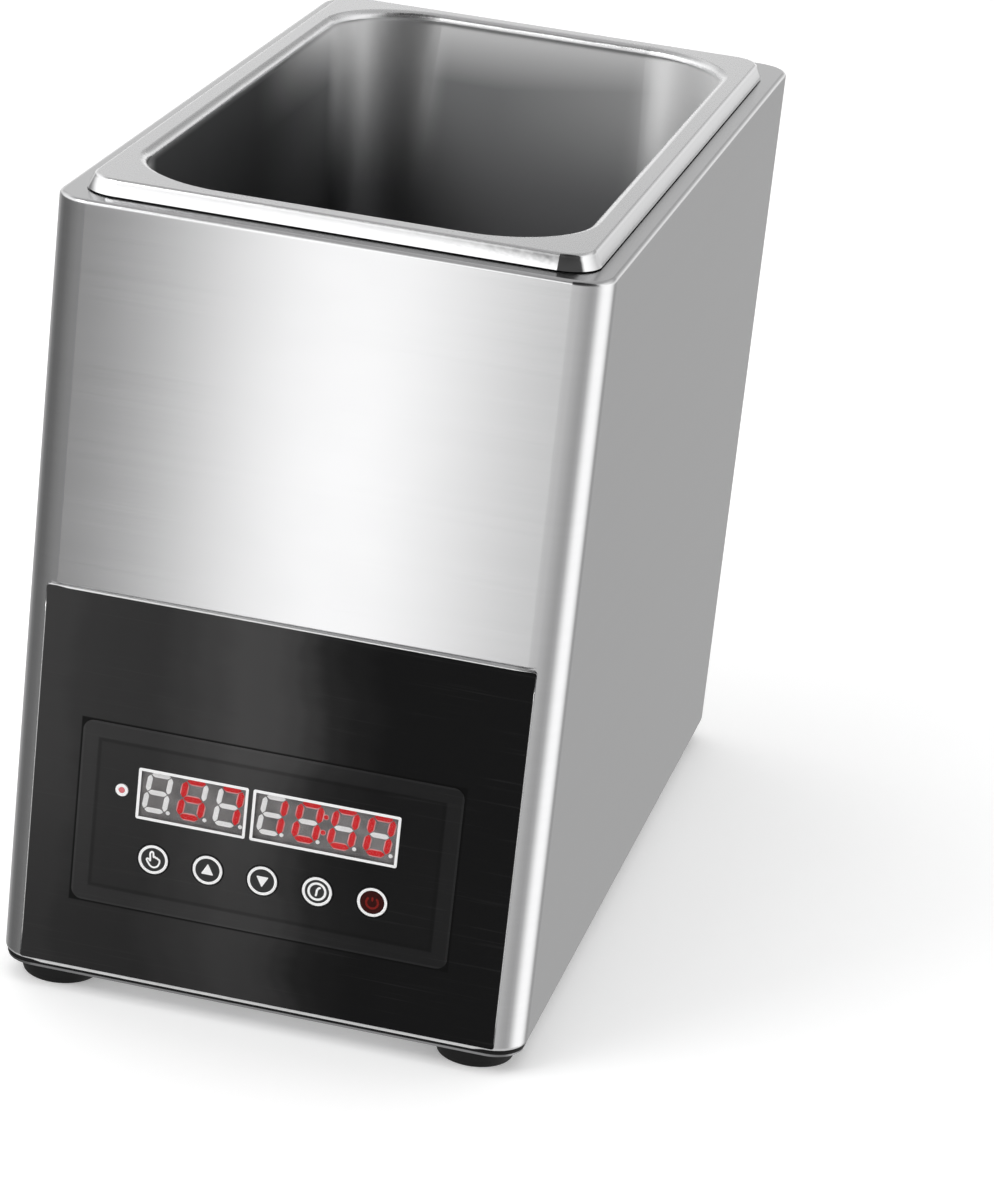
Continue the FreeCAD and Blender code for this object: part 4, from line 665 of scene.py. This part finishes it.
digits = {
    "centres": (-41.1, -28.4, -15.7, 0.05, 12.75, 25.45, 38.15), "middle": 81.35,
    "lit": ("", "acdefg", "abc", "bc", "abcdef", "abcdef", "abcdef"),
    "halfWidth": 3.65, "halfHeight": 6.65, "lean": 0.13, "barWidth": 1.85, "redWidth": 2.10, "gap": 0.25,
    "edgeWidth": 2.85, "height": 0.10, "edgeHeight": 0.06,
    "dots": ((-36.9, 74.7), (-23.7, 74.7), (-10.9, 74.7), (3.9, 74.7), (16.8, 74.7), (29.8, 74.7), (42.7, 74.7)),
    "dotRadius": 0.75, "colon": ((18.95, 84.4), (18.35, 78.6)), "colonRadius": 0.85, "colonEdge": 1.0625,
}
barEnds = {  # across and up, in half widths and half heights
    "a": ((-1, 1), (1, 1)), "b": ((1, 1), (1, 0)), "c": ((1, 0), (1, -1)), "d": ((-1, -1), (1, -1)),
    "e": ((-1, 0), (-1, -1)), "f": ((-1, 1), (-1, 0)), "g": ((-1, 0), (1, 0)),
}


def barPath(centre, letter, values):
    # a straight run between two corners of the digit, kept short of both by the gap and leaned over
    ends = np.array(barEnds[letter], float) * (values["halfWidth"], values["halfHeight"])
    along = (ends[1] - ends[0]) / np.linalg.norm(ends[1] - ends[0])
    ends = ends + np.array([along, -along]) * values["gap"]
    share = np.array([0, 0.5, *range(1, 10), 9.5, 10])[:, None] / 10
    line = ends[0] * (1 - share) + ends[1] * share
    line[:, 0] += values["lean"] * line[:, 1] + centre
    line[:, 1] += values["middle"]
    return line


def makeBars(name, lit, width, dots, radius, height, material):
    # all bars that are lit, or all that are not, and round dots beside them
    bars = [(x, letter) for x, letters in zip(digits["centres"], digits["lit"]) for letter in barEnds
            if (letter in letters) == lit]
    plane = frontPlanes["modules"]
    lines = [inkLine(barPath(x, letter, digits), width, height, plane, False, "point") for x, letter in bars]
    patches = [inkPatch(circlePath(x, z, radius, 24), height, plane) for x, z in dots]
    makePiece(name, lines + patches, material, "cabinet")


makeBars("unlit_bars", False, digits["barWidth"], digits["dots"], digits["dotRadius"], digits["height"],
         unlitSegmentWithGlow)
makeBars("lit_bar_edges", True, digits["edgeWidth"], digits["colon"], digits["colonEdge"], digits["edgeHeight"],
         redHalo)
makeBars("lit_bars", True, digits["redWidth"], digits["colon"], digits["colonRadius"], digits["height"],
         redSegment)

keys = {
    "height": 0.05, "z": 56.9, "ringRadius": 4.82, "ringWidth": 0.98,
    "places": {"key_set": -40.4, "key_up": -20.75, "key_down": -1.1, "key_timer": 18.55, "key_power": 38.2},
    "triangle": (4.5, 4.1), "handWidth": 0.66, "innerRadius": 2.98, "innerWidth": 0.85, "clockWidth": 0.78,
    "discRadius": 4.3, "discHeight": 0.02, "powerRadius": 2.1, "powerDrop": 0.15, "powerOpen": (125, 415),
    "powerBar": ((0, 0.1), (0, 0.7), (0, 1.5), (0, 2.4)), "powerWidth": 0.8,
}
handKnots = (  # millimetres from the key's middle
    (-1.20, 2.10), (-0.80, 2.80), (-0.25, 2.75), (-0.02, 2.10), (0.12, 0.95), (0.60, 1.15), (0.95, 0.75),
    (1.40, 0.85), (1.65, 0.40), (2.10, 0.40), (2.35, -0.20), (2.15, -1.40), (1.50, -2.40), (0.30, -2.85),
    (-0.80, -2.45), (-1.60, -1.55), (-2.30, -0.45), (-2.05, 0.10), (-1.50, -0.05), (-1.05, -0.60), (-1.08, 0.70),
)
hourKnots = ((-0.35, -1.85), (-0.15, -0.70), (-0.05, 0.35), (0.40, 1.25), (1.30, 1.60))
keyPlane = frontPlanes["keys"]


def inkOn(body, name, paths, width, material=whiteInkWithGlow, loop=True):
    x = keys["places"][body]
    stacks = [inkLine(np.asarray(path) + (x, keys["z"]), width, keys["height"], keyPlane, loop) for path in paths]
    makePiece(name, stacks, material, body, loopRows=loop)


def patchOn(body, name, outline, material=whiteInkWithGlow, height=keys["height"]):
    x = keys["places"][body]
    patch = inkPatch(np.asarray(outline) + (x, keys["z"]), height, keyPlane)
    makePiece(name, [patch], material, body)


def trianglePath(width, height, turn):
    # a triangle with small round corners, its middle at the centre; turn is 1 for up and -1 for down
    corners = np.array([(0, 0.6 * height), (-width / 2, -0.4 * height), (width / 2, -0.4 * height)]) * (1, turn)
    share = np.linspace(0.06, 0.94, 12)[None, :, None]
    sides = corners[:, None, :] * (1 - share) + np.roll(corners, -1, axis=0)[:, None, :] * share
    return sides.reshape(-1, 2)


for body in keys["places"]:
    inkOn(body, body + "_ring", [circlePath(0, 0, keys["ringRadius"], 96)], keys["ringWidth"])
inkOn("key_set", "key_set_hand", [curvePath(handKnots, 6, True)], keys["handWidth"])
patchOn("key_up", "key_up_mark", trianglePath(*keys["triangle"], 1))
patchOn("key_down", "key_down_mark", trianglePath(*keys["triangle"], -1))
inkOn("key_timer", "key_timer_dial", [circlePath(0, 0, keys["innerRadius"], 72)], keys["innerWidth"])
inkOn("key_timer", "key_timer_hand", [curvePath(hourKnots, 8)], keys["clockWidth"], loop=False)
patchOn("key_power", "key_power_disc", circlePath(0, 0, keys["discRadius"], 64), redDisc, keys["discHeight"])
inkOn("key_power", "key_power_mark",
      [circlePath(0, -keys["powerDrop"], keys["powerRadius"], 40, *keys["powerOpen"]), keys["powerBar"]],
      keys["powerWidth"], redMark, loop=False)

lamp = {"place": (-53.6, 80.5), "ringRadius": 1.72, "ringWidth": 1.1, "ringHeight": 0.06, "coreRadius": 1.12,
        "coreHeight": 0.12}
lampRing = circlePath(*lamp["place"], lamp["ringRadius"], 48)
lampDot = circlePath(*lamp["place"], lamp["coreRadius"], 32)
makePiece("lamp_core_dot", [inkPatch(lampDot, lamp["coreHeight"], keyPlane)], lampCore, "cabinet")
makePiece("lamp_ring", [inkLine(lampRing, lamp["ringWidth"], lamp["ringHeight"], keyPlane)],
          whiteInkWithGlow, "cabinet", loopRows=True)

panelEdge = {"left": -85.78, "right": 85.78, "bottom": 10.9, "top": 150.18, "width": 0.42, "height": 0.05,
             "steps": 12}
upward = np.linspace(panelEdge["bottom"], panelEdge["top"], panelEdge["steps"])
makePiece("panel_edge",
          [inkLine(np.stack([np.full(panelEdge["steps"], panelEdge[side]), upward], 1), panelEdge["width"],
                   panelEdge["height"], frontPlanes["panel"], False) for side in ("left", "right")],
          edgeTrim, "cabinet")

strips = {  # heights at the left and right end of the lower and of the upper edge, how far it stands out and is sunk
    # the first strip is a grey band of painted shade above the panel; the other two are white painted highlights
    "panel_top_shade": {"lows": (150.60, 150.35), "tops": (151.00, 151.35), "height": 0.03, "sink": 0.8,
                        "on": "panel", "finish": paintedTopShade},
    "panel_top_glint_strip": {"lows": (150.10, 150.10), "tops": (150.78, 150.42), "height": 0.05, "sink": 0.8,
                       "on": "panel", "finish": paintedGlint},
    "front_foot_glint": {"lows": (9.15, 9.15), "tops": (10.40, 10.40), "height": 0.05, "sink": sunk,
                        "on": "casing", "finish": paintedGlint},
}


def taperedStrip(start, end, lows, tops, height, plane, sink):
    # a straight strip whose lower and upper edges each run evenly from one height to another, crowned across
    share = np.linspace(0, 1, 24)
    across, up = crownedProfile(height, sink)
    low = lows[0] + (lows[1] - lows[0]) * share
    top = tops[0] + (tops[1] - tops[0]) * share
    width = (top - low) * np.where((share == 0) | (share == 1), 0.0, 1.0)
    z = top[:, None] - width[:, None] * (0.5 + 0.5 * across)[None, :]
    x = np.broadcast_to((start + (end - start) * share)[:, None], z.shape)
    return toFront(np.stack([x, z], -1), plane, up[None, :] * np.where(width > 0, 1.0, 1e-3)[:, None])


for name, strip in strips.items():
    grid = taperedStrip(panelEdge["left"], panelEdge["right"], strip["lows"], strip["tops"], strip["height"],
                        frontPlanes[strip["on"]], strip["sink"])
    makePiece(name, [grid], strip["finish"], "cabinet")
print("front pieces made")


floorLook = {"rings": (0.0, 0.5, 2.0, 6.0, 15.0), "colour": (0.92, 0.92, 0.92), "shades": (0.995, 1.005),
             "grain": (300, 300, 300), "roughness": 0.9, "whiter": 0.28}
backdropLook = {"radius": 14.0, "heights": (-1.0, 16.0), "sides": 64}
keyLamp = {"place": (-1.15, -1.35, 1.75), "aim": (0.0, 0.0, 0.12), "size": 0.9, "power": 10.5, "mirrored": True}
topLamp = {"place": (0.0, -0.1, 2.6), "aim": (0.0, 0.0, 0.0), "size": 2.6, "power": 26.0, "mirrored": False}
metalShare = 0.72  # what the casing's metal takes off a mirrored value
studioWorld = {
    "stops": (  # azimuth in degrees and how bright the front and sides of the metal look there
        (-180, 0.30), (-160, 0.30), (-137, 0.34), (-117, 0.17), (-97, 0.115), (-77, 0.12), (-57, 0.155),
        (-37, 0.19), (-27, 0.20), (-22, 0.25), (-17.5, 0.05), (-9, 0.425), (-3, 0.54), (4, 0.48), (12, 0.473),
        (20, 0.43), (30, 0.395), (42, 0.345), (54, 0.32), (66, 0.38), (80, 0.69), (88, 0.88), (98, 0.96),
        (112, 0.97), (122, 0.88), (132, 0.70), (140, 0.42), (150, 0.26), (158, 0.305), (166, 0.315), (180, 0.30)),
    "bandAt": -13.7, "bandHalf": 3.61, "band": 1.067,
    "ceiling": (  # azimuth and brightness of the ring above the horizon
        (-180, 0.52), (-172, 0.62), (-164, 0.90), (-150, 0.98), (-110, 1.30), (-60, 1.58), (60, 1.58),
        (110, 1.20), (150, 0.80), (180, 0.60)),
    # a dark leaning edge in the ring: where it starts and ends round the azimuth, how far it leans per rise
    "wedge": (-10.2, 76.0), "wedgeLean": 24.0, "wedgeRise": 0.487, "wedgeDepth": 0.95,
    "wedgeSoft": (0.012, 0.10), "wedgeFade": (0.08, 0.14),  # radians at its two edges; rise where it fades in
    "skyline": 1.15, "skylineAt": 0.06, "skylineHalf": (0.06, 0.22), "zenith": 0.52, "nadir": 0.70,
    "dip": 0.62, "dipStart": (0.24, 0.30), "dipEnd": (0.40, 0.50), "behind": (-0.85, -0.55),  # cosine of azimuth
    # rise at which the ring takes over from the sides, the zenith from the ring and the sides from the nadir
    "ringFade": (0.02, 0.30), "zenithFade": (0.52, 0.84), "nadirFade": (-0.80, -0.55),
}


def makeFloor(values):
    # a round sheet: rings of growing radius about the origin, whitened for the camera alone
    angle = np.linspace(0, 2 * np.pi, 48, endpoint=False)
    radius = np.array(values["rings"])[:, None]
    grid = np.stack([radius * np.cos(angle), radius * np.sin(angle), 0 * radius * angle], -1)
    material, tree, shader, place = startFinish("floor_paper")
    fibre = speckle(tree, place, values["grain"], 3.0)
    seen = addNode(tree, "ShaderNodeLightPath").outputs["Is Camera Ray"]
    dress(tree, shader, tone=blendColour(tree, fibre, *shades(values)), rough=values["roughness"], gloss=0.0,
          glow=times(tree, seen, values["whiter"]), glowColour=(1, 1, 1, 1))
    floor = addMesh("floor", grid.reshape(-1, 3), gridQuads(*grid.shape[:2])[:, ::-1], material)
    floor.visible_glossy = False


def makeBackdrop(values):
    # an upright wall round the floor, seen by the camera alone
    angle = np.linspace(0, 2 * np.pi, values["sides"], endpoint=False)
    ring = values["radius"] * np.stack([np.cos(angle), np.sin(angle)], -1)
    points = np.concatenate([np.insert(ring, 2, height, axis=1) for height in values["heights"]])
    material = bpy.data.materials.new("backdrop_white")
    material.use_nodes = True
    tree = material.node_tree
    tree.nodes.clear()
    light = addNode(tree, "ShaderNodeEmission", {"Color": (1, 1, 1, 1), "Strength": 1.0})
    addNode(tree, "ShaderNodeOutputMaterial", {0: light.outputs[0]})
    backdrop = addMesh("backdrop", points, gridQuads(2, values["sides"]), material)
    backdrop.visible_glossy = backdrop.visible_diffuse = backdrop.visible_shadow = False
    backdrop.visible_transmission = False


def makeWorld(values):
    # brightness from the direction alone: under the horizon it follows the stops round the azimuth with
    # one narrow band added; above it follows the ceiling's stops less a wedge whose edge leans with the rise,
    # with a bright line along the horizon and a dip over it behind the object; it falls off overhead, and is
    # even straight below
    world = bpy.data.worlds.new("studio")
    world.use_nodes = True
    bpy.context.scene.world = world
    tree = world.node_tree
    tree.nodes.clear()
    x, y, rise = split(tree, addNode(tree, "ShaderNodeTexCoord").outputs["Generated"])
    azimuth = sums(tree, "ARCTAN2", x, times(tree, y, -1.0))
    around = sums(tree, "MULTIPLY_ADD", azimuth, 1 / (2 * math.pi), 0.5)
    levels = []
    for kind in ("stops", "ceiling"):
        top = max(value for _, value in values[kind])
        stops = [(degrees / 360 + 0.5, value / top) for degrees, value in values[kind]]
        levels.append(times(tree, follow(tree, around, stops), top))
    low, ceiling = levels
    off = gap(tree, azimuth, math.radians(values["bandAt"]))
    band = spread(tree, off, values["band"], 0.0, 0.0, math.radians(values["bandHalf"]), "SMOOTHSTEP")
    low = sums(tree, "DIVIDE", sums(tree, "ADD", low, band), metalShare)
    low = blendValue(tree, falling(tree, rise, *values["nadirFade"]), low, values["nadir"])

    behind = falling(tree, sums(tree, "COSINE", azimuth), *values["behind"])
    dip = times(tree, rising(tree, rise, *values["dipStart"]), falling(tree, rise, *values["dipEnd"]), behind)
    ceiling = times(tree, ceiling, sums(tree, "MULTIPLY_ADD", dip, values["dip"] - 1.0, 1.0))
    ceiling = blendValue(tree, rising(tree, rise, *values["zenithFade"]), ceiling, values["zenith"])

    start, end = (math.radians(side) for side in values["wedge"])
    startSoft, endSoft = values["wedgeSoft"]
    leaning = sums(tree, "MULTIPLY_ADD", sums(tree, "SUBTRACT", rise, values["wedgeRise"]),
                   math.radians(values["wedgeLean"]), azimuth)
    wedge = times(tree, spread(tree, leaning, 0.0, 1.0, start - startSoft, start + startSoft),
                  spread(tree, azimuth, 1.0, 0.0, end - endSoft, end + endSoft),
                  spread(tree, rise, 0.0, 1.0, *values["wedgeFade"]))
    value = times(tree, blendValue(tree, rising(tree, rise, *values["ringFade"]), low, ceiling),
                  sums(tree, "MULTIPLY_ADD", wedge, -values["wedgeDepth"], 1.0))
    line = times(tree, falling(tree, gap(tree, rise, values["skylineAt"]), *values["skylineHalf"]), behind)
    value = blendValue(tree, line, value, values["skyline"])
    light = addNode(tree, "ShaderNodeBackground", {"Color": value, "Strength": 1.0})
    addNode(tree, "ShaderNodeOutputWorld", {0: light.outputs[0]})


def makeLamp(name, values):
    data = bpy.data.lights.new(name, "AREA")
    data.shape = "SQUARE"
    data.size = values["size"]
    data.energy = values["power"]
    lampObject = bpy.data.objects.new(name, data)
    aim = Vector(values["aim"]) - Vector(values["place"])
    lampObject.matrix_world = Matrix.Translation(values["place"]) @ aim.to_track_quat("-Z", "Y").to_matrix().to_4x4()
    lampObject.visible_glossy = values["mirrored"]
    bpy.context.scene.collection.objects.link(lampObject)


makeFloor(floorLook)
makeBackdrop(backdropLook)
makeWorld(studioWorld)
makeLamp("key_lamp", keyLamp)
makeLamp("top_lamp", topLamp)
bpy.context.scene.view_settings.view_transform = "Standard"
print("studio made")
